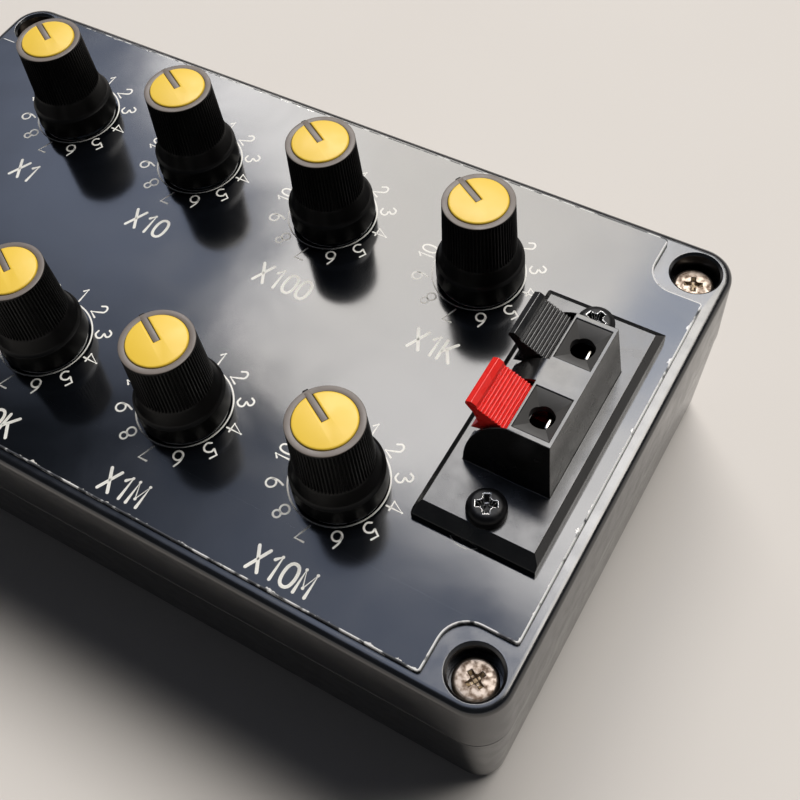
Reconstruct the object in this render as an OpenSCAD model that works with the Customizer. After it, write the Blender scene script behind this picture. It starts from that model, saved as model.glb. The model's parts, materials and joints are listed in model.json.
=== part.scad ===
// Decade resistance box: eight stepped dials and a two-way spring terminal on a small ABS case.
// The origin is under the middle of the case, on the surface that it stands on.
// +X runs along the case to the terminal, +Y from the front row of dials to the back row.

/* [Case] */
// Length of the closed case
case_l = 158; // [152:1:200]
// Width of the closed case
case_w = 90; // [88:1:120]
// Height of the closed case, without the panel
case_h = 40; // [36:1:60]
// Depth of the lid, from its top to the seam
lid_h = 15; // [12:0.5:18]
// Wall thickness of lid and base
wall = 2.5; // [2:0.1:3.2]
// Outer corner radius, also the distance of the screws from the edges
corner_r = 6; // [5.8:0.1:8]
// Rounding of the lid's top edge
lid_edge_r = 1.2; // [0.6:0.1:2]
// How far the lid overhangs the base at the seam
lid_overhang = 0.1; // [0:0.1:0.8]
// Draft of the base's walls in degrees
base_draft = 3; // [0.5:0.5:3]
// Rounding of the base's bottom edge
base_edge_r = 3; // [1:0.5:4]
// Height of the tongue on the base that locates the lid
tongue_h = 1.5; // [1:0.1:2.5]

/* [Lid screws] */
// Diameter of the screw wells in the lid
well_d = 8; // [7.6:0.1:9]
// Head diameter of the lid screws
lid_screw_head_d = 6.9; // [6:0.1:7.2]
// Head height of the lid screws
lid_screw_head_h = 2.4; // [2:0.1:3]
// How far the heads lie below the lid's top
lid_screw_sink = 3; // [2:0.1:5]
// Shank diameter of the lid screws
lid_screw_d = 2.9; // [2.5:0.1:3.2]
// Length of the lid screws under the head
lid_screw_l = 19; // [14:0.5:20]

/* [Panel] */
// Thickness of the engraved panel plate
panel_t = 0.8; // [0.5:0.1:1.5]
// Margin between the panel and the lid's ends
panel_margin_x = 2.4; // [2:0.1:4]
// Margin between the panel and the lid's long sides
panel_margin_y = 2; // [1:0.1:4]
// Corner cut-out, measured from the lid's end
notch_x = 12.6; // [11:0.1:14]
// Corner cut-out, measured from the lid's long side
notch_y = 12.1; // [11:0.1:14]
// Rounding of the corner cut-outs
notch_r = 4.5; // [1:0.1:6]
// Gap between a mounting nut's corners and their hole in the panel
panel_hole_gap = 0.4; // [0.3:0.1:0.6]

/* [Dials] */
// Distance between dials in a row
pitch_x = 29.4; // [28:0.1:32]
// Distance between the two rows
pitch_y = 45; // [40:0.5:50]
// Distance from the lid's right end to the last column
dial_end = 37.6; // [36:0.1:44]
// Offset of the rows from the middle of the case
dial_offset_y = -0.5; // [-2:0.1:2]
// Direction of the pointers at rest, in degrees from +X
rest_angle = 150; // [0:30:330]

/* [Knob] */
// Diameter of the knob's flange
knob_d = 15; // [14.8:0.1:15.4]
// Diameter of the knob's top rim
knob_top_d = 11.7; // [11:0.1:12.2]
// Widening of the ribbed grip from the rim to its foot, in radius
grip_taper = 0.35; // [0.1:0.05:0.5]
// Height of the knob
knob_h = 17; // [15:0.5:22]
// Gap between the knob and the panel
knob_gap = 1.2; // [0.8:0.1:1.6]
// Height of the flange at the knob's foot
flange_h = 4; // [3:0.1:5]
// Height of the smooth skirt between flange and ribs
skirt_h = 2.8; // [2:0.1:4]
// Number of grip ribs
rib_count = 68; // [40:2:72]
// Diameter of the coloured cap in the knob's top
cap_d = 9.7; // [8:0.1:10]
// Thickness of the cap
cap_t = 0.9; // [0.6:0.1:1.4]
// Width of the pointer bar
pointer_w = 0.95; // [0.7:0.05:1.4]

/* [Rotary switch] */
// Diameter of the switch body
switch_d = 26; // [24:0.5:28]
// Height of the switch body
switch_h = 9; // [8:0.5:12]
// Diameter of the threaded bushing
bushing_d = 9; // [8.6:0.1:9.4]
// Diameter of the shaft
shaft_d = 6; // [5.8:0.1:6.2]
// Wall of the mounting nut at its flats
nut_wall = 1; // [0.8:0.1:1.1]
// Thickness of the mounting nut
nut_t = 2; // [1.6:0.1:2.2]
// Rim of the washer that shows round the nut's flats
washer_rim = 0.7; // [0.5:0.1:1]
// Number of switch positions
position_count = 12; // [12:1:12]
// Distance of the solder lugs from the switch body's edge
lug_inset = 2; // [1.6:0.1:2.4]
// Length of the solder lugs
lug_l = 6; // [5:0.5:9]

/* [Spring terminal] */
// Distance from the lid's right end to the terminal's middle
terminal_end = 15.2; // [14:0.1:20]
// Offset of the terminal from the middle of the case
terminal_offset_y = 0.3; // [-2:0.1:2]
// Width of the terminal's plate
plate_w = 20.4; // [20:0.1:24]
// Thickness of the terminal's plate
plate_t = 3; // [2.5:0.1:3.5]
// Height of the terminal's housing above the panel
housing_h = 15; // [14.5:0.1:16]
// Diameter of the wire holes
wire_d = 3.8; // [3:0.1:4]
// Width of each lever's pad
lever_w = 8.4; // [8:0.1:9]
// Wall between the two lever bays
lever_web = 4.2; // [3.6:0.1:5]
// Wall at each end of the housing, at its foot
end_wall = 1.4; // [1.2:0.1:2.4]
// Length of the plate beyond the housing, at each end
plate_land = 10.7; // [10:0.1:13]
// Distance of the plate's screws from the housing
screw_land = 5.9; // [5.4:0.1:7]
// Head diameter of the terminal's screws
terminal_screw_head_d = 6.2; // [5.6:0.1:6.4]

/* [Wiring] */
// Diameter of the insulated hook-up wire
wire_od = 1.3; // [1:0.1:1.6]
// Body diameter of the resistors
resistor_d = 1.9; // [1.6:0.1:2.2]
// Body length of the resistors
resistor_l = 3.3; // [3:0.1:3.6]

/* [Hidden] */
$fn = 64;
hull_fn = 48;
// Clearances: parts pressed or laid together, shafts that turn, other moving pieces, screw holes
fit_gap = 0.05;
shaft_gap = 0.05;
run_gap = 0.3;
screw_gap = 0.2;
overcut = 0.1;

// Heights of the main levels
seam_z = case_h - lid_h;
lid_under_z = case_h - wall;
panel_z = case_h + panel_t;
well_floor_z = case_h - lid_screw_sink - lid_screw_head_h;
screw_x = case_l / 2 - corner_r;
screw_y = case_w / 2 - corner_r;
boss_inset = 0.25;
boss_r = corner_r - boss_inset;
post_inset = 2;
post_r = corner_r - post_inset;
cavity_r = 2;
rebate_depth = wall / 2;
tongue_gap = 0.15;
tongue_t = rebate_depth - tongue_gap;
base_inset = lid_overhang + seam_z * tan(base_draft);
floor_t = wall;

// The decades in reading order: back row first, left to right
DECADES = ["x1", "x10", "x100", "x1k", "x10k", "x100k", "x1m", "x10m"];
column_count = 4;
// The series chain runs along the back row and returns along the front row
CHAIN = [0, 1, 2, 3, 7, 6, 5, 4];
function dial_x(i) = case_l / 2 - dial_end - (column_count - 1 - i % column_count) * pitch_x;
function dial_y(i) = dial_offset_y + (i < column_count ? 1 : -1) * pitch_y / 2;

// Knob profile
knob_z = panel_z + knob_gap;
flange_edge_r = 0.35;
flange_draft = 0.1;
skirt_step = 0.45;
skirt_foot_r = knob_d / 2 - flange_draft - skirt_step;
skirt_top_z = flange_h + skirt_h;
rib_depth = 0.28;
rib_root_r = knob_top_d / 2 - rib_depth;
grip_foot_r = knob_top_d / 2 + grip_taper;
rim_chamfer = 0.3;
ridge_out = 0.45;
knob_crown = 4;
knob_bore_top = knob_h - knob_crown;
cap_proud = 0.25;
cap_edge = 0.3;
cap_recess = cap_t - cap_proud;

// Rotary switch levels, from the lid downwards
frame_t = 1.2;
frame_z = lid_under_z - frame_t;
washer_t = 0.5;
nut_af = bushing_d + 2 * nut_wall;
washer_d = nut_af + 2 * washer_rim;
nut_z = case_h + washer_t;
thread_show = 0.7;
bushing_top_z = nut_z + nut_t + thread_show;
nut_corner_d = nut_af / cos(30);
nut_recess_d = nut_corner_d + 2 * run_gap;
nut_recess_top = bushing_top_z + run_gap - knob_z;
switch_z = frame_z - switch_h;
switch_wall = 1.5;
rotor_t = 3;
rotor_rim = 1;
rotor_r = switch_d / 2 - switch_wall - rotor_rim;
rotor_z = frame_z - run_gap - rotor_t;
lug_ring_r = switch_d / 2 - lug_inset;
lug_t = 0.5;
lug_w = 1.6;
common_r = 4;
lug_end_z = switch_z - lug_l;
step_angle = 360 / position_count;
lug_start = 120;
resistor_count = 10;
lead_d = 0.5;
resistor_z = switch_z - lug_l * 0.6;
solder_gap = 0.15;
chord = 2 * lug_ring_r * sin(step_angle / 2);
lead_span = chord - lug_t / cos(step_angle / 2) - 2 * solder_gap;

// Spring terminal, lengths along Y
terminal_x = case_l / 2 - terminal_end;
bay_w = lever_w + 2 * run_gap;
wire_pitch = bay_w + lever_web;
housing_l = wire_pitch + bay_w + 2 * end_wall;
end_draft = 1.2;
housing_top_l = housing_l - 2 * end_draft;
plate_l = housing_l + 2 * plate_land;
terminal_screw_pitch = housing_l + 2 * screw_land;
hub_w = lever_w - 1.4;
hub_bay_w = hub_w + 2 * run_gap;
trunnion_l = 1;

// Spring terminal, sections in X and Z from the plate's middle and the panel's surface
plate_side_bevel = [1.1, 1.2];
plate_end_bevel = [2, 1.8];
land_left = -0.5;
land_right = 6.2;
block_right = 7.2;
block_left = -7.2;
hump_x = 2;
shoulder_z = plate_t + 0.5;
bay_floor = 1.2;
bay_right = 5.3;
bay_roof = housing_h - 4;
bay_lead = 1.6;
mouth_floor = housing_h - 5.8;
mouth_rise = 3;
mouth_x = -5;
wire_x = 2.75;
funnel_w = 5.9;
funnel_l = 7.9;
funnel_depth = 2.5;

// Lever and contact
pivot = [-0.6, bay_floor + 3];
pivot_d = 2;
hub_r = 1.4;
head_z = housing_h - pivot.y;
nose_x = wire_x + 0.35;
nose_z = bay_roof - pivot.y - 1.6;
nose_t = 1.4;
grip_count = 9;
grip_h = 0.28;
contact_t = 0.4;
contact_w = 5;
blade_x = nose_x + run_gap + contact_t / 2;
blade_top = bay_roof - 0.8;
tag_w = 2.8;
tag_slot_gap = 0.1;
tag_x = bay_right - contact_t / 2 - tag_slot_gap - fit_gap;
tag_reach = 6;
tag_end = -panel_t - wall - tag_reach;
opening_w = 9;
opening_l = wire_pitch + tag_w + 4;

// Terminal screws and nuts
terminal_screw_d = 2.9;
terminal_screw_head_h = 2.2;
terminal_screw_out = 4;
terminal_screw_l = plate_t + panel_t + wall + terminal_screw_out;
m3_nut_af = 5.5;
m3_nut_t = 2.4;
m3_washer_d = 7;
m3_washer_t = 0.5;

// Wiring levels
joint_gap = 0.2;
wire_drop = 4;
link_z = lug_end_z - wire_drop;
lead_run_z = link_z - wire_drop;
lead_run_y = 4;

// Shared shapes

// Rectangle with round corners
module rounded(l, w, r) {
    square([l - 2 * r, w], center = true);
    square([l, w - 2 * r], center = true);
    for (x = [-1, 1], y = [-1, 1])
        translate([x * (l / 2 - r), y * (w / 2 - r)]) circle(r);
}

// Copies its children to the four corner screws
module at_corners() {
    for (x = [-1, 1], y = [-1, 1]) translate([x * screw_x, y * screw_y]) children();
}

// Copies its children to all eight dial axes
module at_dials() {
    for (i = [0 : len(DECADES) - 1]) translate([dial_x(i), dial_y(i)]) children();
}

// Points of an elliptical arc
function arc(cx, cz, rx, rz, from, to, steps) =
    [for (i = [0 : steps]) let (a = from + (to - from) * i / steps) [cx + rx * cos(a), cz + rz * sin(a)]];

// Pan-head screw with a cross recess; the head's underside is at z = 0
module pan_screw(head_d, head_h, shank_d, l) {
    edge = head_h * 0.55;
    cross_w = head_d * 0.17;
    cross_l = head_d * 0.62;
    cross_floor = head_h * 0.4;
    tip_d = shank_d * 0.4;
    difference() {
        union() {
            rotate_extrude()
                polygon(concat([[0, 0], [head_d / 2, 0]],
                               arc(head_d / 2 - edge, head_h - edge, edge, edge, 0, 90, 5),
                               [[0, head_h]]));
            translate([0, 0, shank_d - l]) cylinder(d = shank_d, h = l - shank_d);
            translate([0, 0, -l]) cylinder(d1 = tip_d, d2 = shank_d, h = shank_d);
        }
        for (a = [0, 90])
            rotate(a) translate([-cross_l / 2, -cross_w / 2, cross_floor]) cube([cross_l, cross_w, head_h]);
    }
}

// Hexagonal nut standing on z = 0
module hex_nut(af, bore_d, t) {
    difference() {
        cylinder(d = af / cos(30), h = t, $fn = 6);
        translate([0, 0, -overcut]) cylinder(d = bore_d, h = t + 2 * overcut);
    }
}

// Flat washer standing on z = 0
module washer(d, bore_d, t) {
    difference() {
        cylinder(d = d, h = t);
        translate([0, 0, -overcut]) cylinder(d = bore_d, h = t + 2 * overcut);
    }
}

// Rings of a tube: each ring slides along its run to the mitre plane at the next point
function unit(v) = v / norm(v);
function run_at(p, i) = unit(p[i + 1] - p[i]);
function mitre_at(p, i) = i < len(p) - 1 ? run_at(p, i - 1) + run_at(p, i) : run_at(p, i - 1);
function slide(q, along, plane_point, normal) = q + along * ((plane_point - q) * normal) / (along * normal);
function rings(p, ring, i = 0) =
    i == len(p) - 1
        ? [ring]
        : concat([ring],
                 rings(p, [for (q = ring) slide(q, run_at(p, i), p[i + 1], mitre_at(p, i + 1))], i + 1));

// Round wire along a list of points, with mitred bends
module wire(points, d) {
    sides = 10;
    start = run_at(points, 0);
    across = unit(cross(start, abs(start.z) < 0.9 ? [0, 0, 1] : [1, 0, 0]));
    upward = cross(across, start);
    first = [for (k = [0 : sides - 1])
        let (a = 360 * k / sides) points[0] + d / 2 * (across * cos(a) + upward * sin(a))];
    all = rings(points, first);
    last = (len(all) - 1) * sides;
    walls = [for (r = [0 : len(all) - 2], k = [0 : sides - 1])
        let (next = (k + 1) % sides)
            [r * sides + next, (r + 1) * sides + next, (r + 1) * sides + k, r * sides + k]];
    polyhedron(
        points = [for (ring = all) each ring],
        faces = concat([[for (k = [sides - 1 : -1 : 0]) k]], walls, [[for (k = [0 : sides - 1]) last + k]])
    );
}

// Bent strip: its centre line as points in the plane, its thickness t
module strip(points, t) {
    for (i = [0 : len(points) - 2]) {
        run = points[i + 1] - points[i];
        translate(points[i]) rotate(atan2(run.y, run.x)) translate([0, -t / 2]) square([norm(run), t]);
    }
    for (i = [1 : len(points) - 2]) translate(points[i]) circle(d = t);
}

// Stands a section drawn in X and Z upright and centres its length l on Y
module upright(l) {
    translate([0, l / 2, 0]) rotate([90, 0, 0]) linear_extrude(l) children();
}

// Case

// Corner of the base: draft on the side, rounding at the foot
module base_corner() {
    top_r = corner_r - lid_overhang;
    foot_r = corner_r - base_inset;
    rotate_extrude($fn = hull_fn)
        polygon(concat([[0, seam_z], [0, 0]],
                       arc(foot_r - base_edge_r, base_edge_r, base_edge_r, base_edge_r, -90, 0, 8),
                       [[top_r, seam_z]]));
}

module base_shell() {
    cavity_l = case_l - 2 * (base_inset + wall);
    cavity_w = case_w - 2 * (base_inset + wall);
    tongue_l = case_l - 2 * (rebate_depth + tongue_gap);
    tongue_w = case_w - 2 * (rebate_depth + tongue_gap);
    tongue_r = corner_r - rebate_depth - tongue_gap;
    hole_below = 1;
    color("#1b1b1d")
        difference() {
            union() {
                difference() {
                    hull() at_corners() base_corner();
                    translate([0, 0, floor_t]) linear_extrude(case_h) rounded(cavity_l, cavity_w, cavity_r);
                }
                at_corners() translate([0, 0, floor_t]) cylinder(r = post_r, h = seam_z - floor_t);
                difference() {
                    translate([0, 0, seam_z - overcut]) linear_extrude(tongue_h + overcut) difference() {
                        rounded(tongue_l, tongue_w, tongue_r);
                        rounded(tongue_l - 2 * tongue_t, tongue_w - 2 * tongue_t, tongue_r - tongue_t);
                    }
                    at_corners() translate([0, 0, seam_z]) cylinder(r = boss_r + run_gap, h = case_h);
                }
            }
            at_corners()
                translate([0, 0, well_floor_z - lid_screw_l - hole_below])
                    cylinder(d = lid_screw_d + 2 * fit_gap, h = case_h);
        }
}

// Corner of the lid, rounded over at the top
module lid_corner() {
    rotate_extrude($fn = hull_fn)
        polygon(concat([[0, seam_z], [corner_r, seam_z]],
                       arc(corner_r - lid_edge_r, case_h - lid_edge_r, lid_edge_r, lid_edge_r, 0, 90, 6),
                       [[0, case_h]]));
}

// Screw well with a chamfered mouth, and the screw's hole below it
module screw_well() {
    mouth = 0.45;
    translate([0, 0, well_floor_z]) cylinder(d = well_d, h = case_h);
    translate([0, 0, case_h - mouth]) cylinder(d1 = well_d, d2 = well_d + 4 * mouth, h = 2 * mouth);
    translate([0, 0, seam_z - overcut]) cylinder(d = lid_screw_d + 2 * screw_gap, h = lid_h);
}

module lid() {
    rebate_l = case_l - 2 * rebate_depth;
    rebate_w = case_w - 2 * rebate_depth;
    color("#1b1b1d")
        difference() {
            hull() at_corners() lid_corner();
            difference() {
                union() {
                    translate([0, 0, seam_z - overcut])
                        linear_extrude(lid_h - wall + overcut)
                            rounded(case_l - 2 * wall, case_w - 2 * wall, corner_r - wall);
                    translate([0, 0, seam_z - overcut])
                        linear_extrude(tongue_h + tongue_gap + overcut)
                            rounded(rebate_l, rebate_w, corner_r - rebate_depth);
                }
                at_corners() translate([0, 0, seam_z]) cylinder(r = boss_r, h = lid_h);
            }
            at_corners() screw_well();
            at_dials() translate([0, 0, seam_z]) cylinder(d = bushing_d + 2 * screw_gap, h = case_h);
            terminal_cuts(seam_z, case_h);
        }
}

module front_panel() {
    panel_l = case_l - 2 * panel_margin_x;
    panel_w = case_w - 2 * panel_margin_y;
    color("#14171c")
        difference() {
            translate([0, 0, case_h]) linear_extrude(panel_t) difference() {
                square([panel_l, panel_w], center = true);
                for (x = [0, 1], y = [0, 1]) mirror([x, 0]) mirror([0, y]) corner_notch();
            }
            at_dials()
                translate([0, 0, case_h - overcut])
                    cylinder(d = nut_corner_d + 2 * panel_hole_gap, h = panel_t + 2 * overcut);
            terminal_cuts(case_h, panel_t);
        }
}

// Cut-out that leaves a lid screw uncovered
module corner_notch() {
    left = case_l / 2 - notch_x;
    low = case_w / 2 - notch_y;
    translate([left + notch_r, low]) square([notch_x, notch_y]);
    translate([left, low + notch_r]) square([notch_x, notch_y]);
    translate([left + notch_r, low + notch_r]) circle(notch_r);
}

module lid_screws() {
    color("#c9c3b6")
        at_corners()
            translate([0, 0, well_floor_z])
                pan_screw(lid_screw_head_d, lid_screw_head_h, lid_screw_d, lid_screw_l);
}

// Dials

// Ribbed grip: a star section of straight ribs, whose crests the taper then trims
module rib_section() {
    pitch = 360 / rib_count;
    crest_half = 0.28;
    polygon([for (i = [0 : rib_count - 1],
                  corner = [[knob_d / 2, -crest_half], [knob_d / 2, crest_half], [rib_root_r, 0.5]])
        corner[0] * [cos((i + corner[1]) * pitch), sin((i + corner[1]) * pitch)]]);
}

// Solid knob, with its flange, smooth skirt and tapered ribs; the pointer ridge lies along +X
module knob_blank() {
    core_r = rib_root_r - 0.2;
    core_top = skirt_top_z + 2;
    ridge_from = rib_root_r - 0.5;
    rotate_extrude()
        polygon(concat([[0, 0], [knob_d / 2, 0]],
                       arc(knob_d / 2 - flange_draft - flange_edge_r, flange_h - flange_edge_r,
                           flange_edge_r, flange_edge_r, 0, 90, 4),
                       [[skirt_foot_r, flange_h], [grip_foot_r, skirt_top_z], [core_r, core_top],
                        [0, core_top]]));
    intersection() {
        translate([0, 0, flange_h]) linear_extrude(knob_h - flange_h) rib_section();
        rotate_extrude()
            polygon([[0, 0], [grip_foot_r, 0], [grip_foot_r, flange_h],
                     [knob_top_d / 2, knob_h - rim_chamfer], [knob_top_d / 2 - rim_chamfer, knob_h],
                     [0, knob_h]]);
    }
    translate([ridge_from, -pointer_w / 2, skirt_top_z])
        cube([knob_top_d / 2 + ridge_out - ridge_from, pointer_w, knob_h - skirt_top_z - rim_chamfer]);
}

module knob() {
    difference() {
        knob_blank();
        translate([0, 0, -overcut]) cylinder(d = nut_recess_d, h = nut_recess_top + overcut);
        cylinder(d = shaft_d + 2 * fit_gap, h = knob_bore_top);
        difference() {
            translate([0, 0, knob_h - cap_recess]) cylinder(d = cap_d, h = cap_recess + overcut);
            translate([0, -pointer_w / 2, 0]) cube([knob_d, pointer_w, knob_h]);
        }
    }
}

// Coloured cap with a chamfered edge and the slot for the knob's pointer bar
module knob_cap() {
    disc_d = cap_d - 2 * fit_gap;
    difference() {
        union() {
            cylinder(d = disc_d, h = cap_t - cap_edge);
            translate([0, 0, cap_t - cap_edge]) cylinder(d1 = disc_d, d2 = disc_d - 2 * cap_edge, h = cap_edge);
        }
        translate([-fit_gap, -pointer_w / 2 - fit_gap, -overcut])
            cube([cap_d, pointer_w + 2 * fit_gap, cap_t + 2 * overcut]);
    }
}

// Shaft with the rotor that carries the wiper; one wiper finger reaches the contact ring
module rotor_shaft() {
    shaft_top = knob_z + knob_bore_top - run_gap;
    finger_w = 2.4;
    notch_r = 1.2;
    difference() {
        union() {
            translate([0, 0, rotor_z]) cylinder(d = shaft_d, h = shaft_top - rotor_z);
            translate([0, 0, rotor_z]) cylinder(r = rotor_r - rotor_rim, h = rotor_t);
            translate([0, -finger_w / 2, rotor_z]) cube([rotor_r, finger_w, rotor_t / 2]);
        }
        for (k = [0 : position_count - 1])
            rotate((k + 0.5) * step_angle)
                translate([rotor_r - rotor_rim, 0, rotor_z + rotor_t / 2]) cylinder(r = notch_r, h = rotor_t);
    }
}

// Closed cup of the switch, open towards its mounting frame
module switch_body() {
    flute_r = 0.7;
    difference() {
        translate([0, 0, switch_z]) cylinder(d = switch_d, h = switch_h);
        translate([0, 0, rotor_z - run_gap]) cylinder(d = switch_d - 2 * switch_wall, h = switch_h);
        for (k = [0 : position_count - 1])
            rotate((k + 0.5) * step_angle)
                translate([switch_d / 2, 0, switch_z - overcut])
                    cylinder(r = flute_r, h = switch_h + 2 * overcut);
    }
}

// Metal plate and bushing that clamp the switch to the lid
module switch_frames() {
    frame_d = switch_d - 1;
    color("#b9bcc0")
        at_dials()
            difference() {
                union() {
                    translate([0, 0, frame_z]) cylinder(d = frame_d, h = frame_t);
                    translate([0, 0, frame_z]) cylinder(d = bushing_d, h = bushing_top_z - frame_z);
                }
                translate([0, 0, frame_z - overcut]) cylinder(d = shaft_d + 2 * shaft_gap, h = case_h);
            }
}

module switch_washers() {
    color("#c4c6c8")
        at_dials() translate([0, 0, case_h]) washer(washer_d, bushing_d + 2 * fit_gap, washer_t);
}

module switch_nuts() {
    color("#c4c6c8") at_dials() translate([0, 0, nut_z]) hex_nut(nut_af, bushing_d + 2 * fit_gap, nut_t);
}

// Solder lugs: one for each position, and the common lug nearer the axis
module switch_lugs() {
    color("#d6c27a")
        at_dials() {
            for (k = [0 : position_count - 1])
                rotate(lug_start - k * step_angle)
                    translate([lug_ring_r - lug_w / 2, -lug_t / 2, lug_end_z]) cube([lug_w, lug_t, lug_l]);
            translate([common_r - lug_w / 2, -lug_t / 2, lug_end_z]) cube([lug_w, lug_t, lug_l]);
        }
}

// One resistor lying along X, with its leads
module resistor() {
    end_l = 0.6;
    end_d = resistor_d + 0.3;
    rotate([0, 90, 0]) {
        cylinder(d = lead_d, h = lead_span, center = true);
        cylinder(d = resistor_d, h = resistor_l, center = true);
        for (s = [-1, 1])
            translate([0, 0, s * (resistor_l - end_l) / 2]) cylinder(d = end_d, h = end_l, center = true);
    }
}

// Ring of ten equal resistors between neighbouring lugs of one switch
module resistors() {
    ring_r = lug_ring_r * cos(step_angle / 2);
    for (k = [0 : resistor_count - 1])
        rotate(lug_start - (k + 0.5) * step_angle)
            translate([ring_r, 0, resistor_z]) rotate(90) resistor();
}

// Spring terminal

// Openings that the terminal needs in the lid and in the panel
module terminal_cuts(z, h) {
    translate([terminal_x + tag_x - opening_w / 2, terminal_offset_y - opening_l / 2, z - overcut])
        cube([opening_w, opening_l, h + 2 * overcut]);
    at_terminal_screws(z - overcut) cylinder(d = terminal_screw_d + 2 * screw_gap, h = h + 2 * overcut);
}

// Copies its children to the two screws of the terminal, at height z
module at_terminal_screws(z) {
    for (s = [-1, 1]) translate([terminal_x, terminal_offset_y + s * terminal_screw_pitch / 2, z]) children();
}

// Rectangle of width w and height t with bevelled upper corners
module bevelled(w, t, bevel) {
    half = w / 2;
    polygon([[-half, 0], [half, 0], [half, t - bevel.y], [half - bevel.x, t], [bevel.x - half, t],
             [-half, t - bevel.y]]);
}

// Plate with bevelled upper edges, as two crossing sections
module terminal_plate() {
    intersection() {
        upright(plate_l) bevelled(plate_w, plate_t, plate_side_bevel);
        rotate(90) upright(plate_w) bevelled(plate_l, plate_t, plate_end_bevel);
    }
}

// Block that holds the levers: rounded towards the levers, drafted at its ends
module terminal_block() {
    hump_start = acos((land_left - hump_x) / (hump_x - block_left));
    hump_rise = (housing_h - shoulder_z) / sin(hump_start);
    intersection() {
        upright(housing_l)
            polygon(concat([[block_left, plate_t - overcut], [block_right, plate_t - overcut],
                            [land_right, housing_h]],
                           arc(hump_x, shoulder_z, hump_x - block_left, hump_rise, hump_start, 180, 12)));
        rotate(90) upright(plate_w)
            polygon([[-housing_l / 2, 0], [housing_l / 2, 0], [housing_l / 2, plate_t],
                     [housing_top_l / 2, housing_h], [-housing_top_l / 2, housing_h],
                     [-housing_l / 2, plate_t]]);
    }
}

// Bay of one lever: a slot for its hub and nose under the land, and a wider mouth for its pad
module lever_bay() {
    outside = block_left - overcut;
    above = housing_h + overcut;
    upright(hub_bay_w)
        polygon([[outside, bay_floor], [bay_right, bay_floor], [bay_right, bay_roof],
                 [land_left + bay_lead, bay_roof], [land_left, bay_roof + bay_lead], [land_left, above],
                 [outside, above]]);
    upright(bay_w)
        polygon([[outside, mouth_floor], [mouth_x, mouth_floor], [land_left, mouth_floor + mouth_rise],
                 [land_left, above], [outside, above]]);
}

// Funnel over a wire hole, as two crossing wedges
module funnel() {
    narrow = wire_d + 2 * fit_gap;
    depth = funnel_depth + overcut;
    translate([wire_x, 0, housing_h - funnel_depth])
        intersection() {
            upright(funnel_l + overcut)
                polygon([[-narrow / 2, 0], [narrow / 2, 0], [funnel_w / 2, depth], [-funnel_w / 2, depth]]);
            rotate(90) upright(funnel_w + overcut)
                polygon([[-narrow / 2, 0], [narrow / 2, 0], [funnel_l / 2, depth], [-funnel_l / 2, depth]]);
        }
}

// Copies its children to the two wire positions; s is -1 for the red side and 1 for the black side
module at_wire(s) {
    translate([terminal_x, terminal_offset_y + s * wire_pitch / 2, panel_z]) children();
}

module terminal_housing() {
    tag_slot = [contact_t + 2 * tag_slot_gap, tag_w + 2 * tag_slot_gap];
    color("#17181a")
        difference() {
            translate([terminal_x, terminal_offset_y, panel_z]) union() {
                terminal_plate();
                terminal_block();
            }
            for (s = [-1, 1]) at_wire(s) {
                lever_bay();
                funnel();
                translate([wire_x, 0, bay_roof - overcut]) cylinder(d = wire_d, h = housing_h);
                translate([pivot.x, 0, pivot.y]) rotate([90, 0, 0])
                    cylinder(d = pivot_d + 2 * shaft_gap, h = hub_bay_w + 2 * trunnion_l, center = true);
                translate([tag_x - tag_slot.x / 2, -tag_slot.y / 2, -overcut])
                    cube([tag_slot.x, tag_slot.y, bay_floor + 2 * overcut]);
            }
            at_terminal_screws(panel_z - overcut)
                cylinder(d = terminal_screw_d + 2 * screw_gap, h = plate_t + 2 * overcut);
        }
}

// Side view of a lever's head, from its pivot: ribbed pad, raised lip and stop spur
module lever_head() {
    pad_in = [land_left - run_gap - pivot.x, head_z - 1.2];
    pad_out = [-4.6, head_z + 1.1];
    lip = [[-4.7, 0.9], [-4.9, 1.7], [-5.7, 2.2], [-6.6, 1.8], [-6.7, 1.2]];
    spur = [[-5.3, -0.6], [-4.7, -2.4], [-5.9, -4.6], [-3.5, -3.8], [-1.2, -3.2], [pad_in.x, -2.4]];
    along = pad_out - pad_in;
    outward = [-along.y, along.x] / norm(along);
    grip = [[0.1, 0], [0.25, grip_h], [0.65, grip_h], [0.8, 0]];
    pad = [for (i = [0 : grip_count - 1], c = grip)
        pad_in + along * (i + c[0]) / grip_count + outward * c[1]];
    polygon(concat(pad, [for (p = concat(lip, spur)) p + [0, head_z]]));
}

// Side view of a lever's neck, from its pivot: hub, web and the nose that clamps the wire
module lever_neck() {
    nose_tip = nose_x - pivot.x;
    circle(hub_r);
    polygon([[-1.2, 0], [1.2, 0], [1.1, nose_z - nose_t - 0.8], [nose_tip, nose_z - nose_t],
             [nose_tip, nose_z], [0.6, nose_z + 1], [land_left - run_gap - pivot.x, head_z - 2],
             [-2.4, head_z - 3.2], [-1.5, nose_z]]);
}

module lever() {
    upright(lever_w) translate(pivot) lever_head();
    upright(hub_w) translate(pivot) lever_neck();
    translate([pivot.x, 0, pivot.y]) rotate([90, 0, 0])
        cylinder(d = pivot_d, h = hub_bay_w + 2 * (trunnion_l - run_gap), center = true);
}

// Contact strip: blade beside the wire, leaf spring behind the lever, tag down through the lid
module contact() {
    leaf_z = bay_floor + contact_t / 2 + fit_gap;
    heel_x = pivot.x - 3.4;
    upright(contact_w) {
        strip([[tag_x + contact_t / 2, leaf_z], [heel_x, leaf_z], [heel_x - 1.3, pivot.y],
               pivot + [-3.2, head_z - 4.9]], contact_t);
        strip([[blade_x, leaf_z], [blade_x, blade_top]], contact_t);
    }
    translate([tag_x - contact_t / 2, -tag_w / 2, tag_end]) cube([contact_t, tag_w, leaf_z - tag_end]);
}

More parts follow.
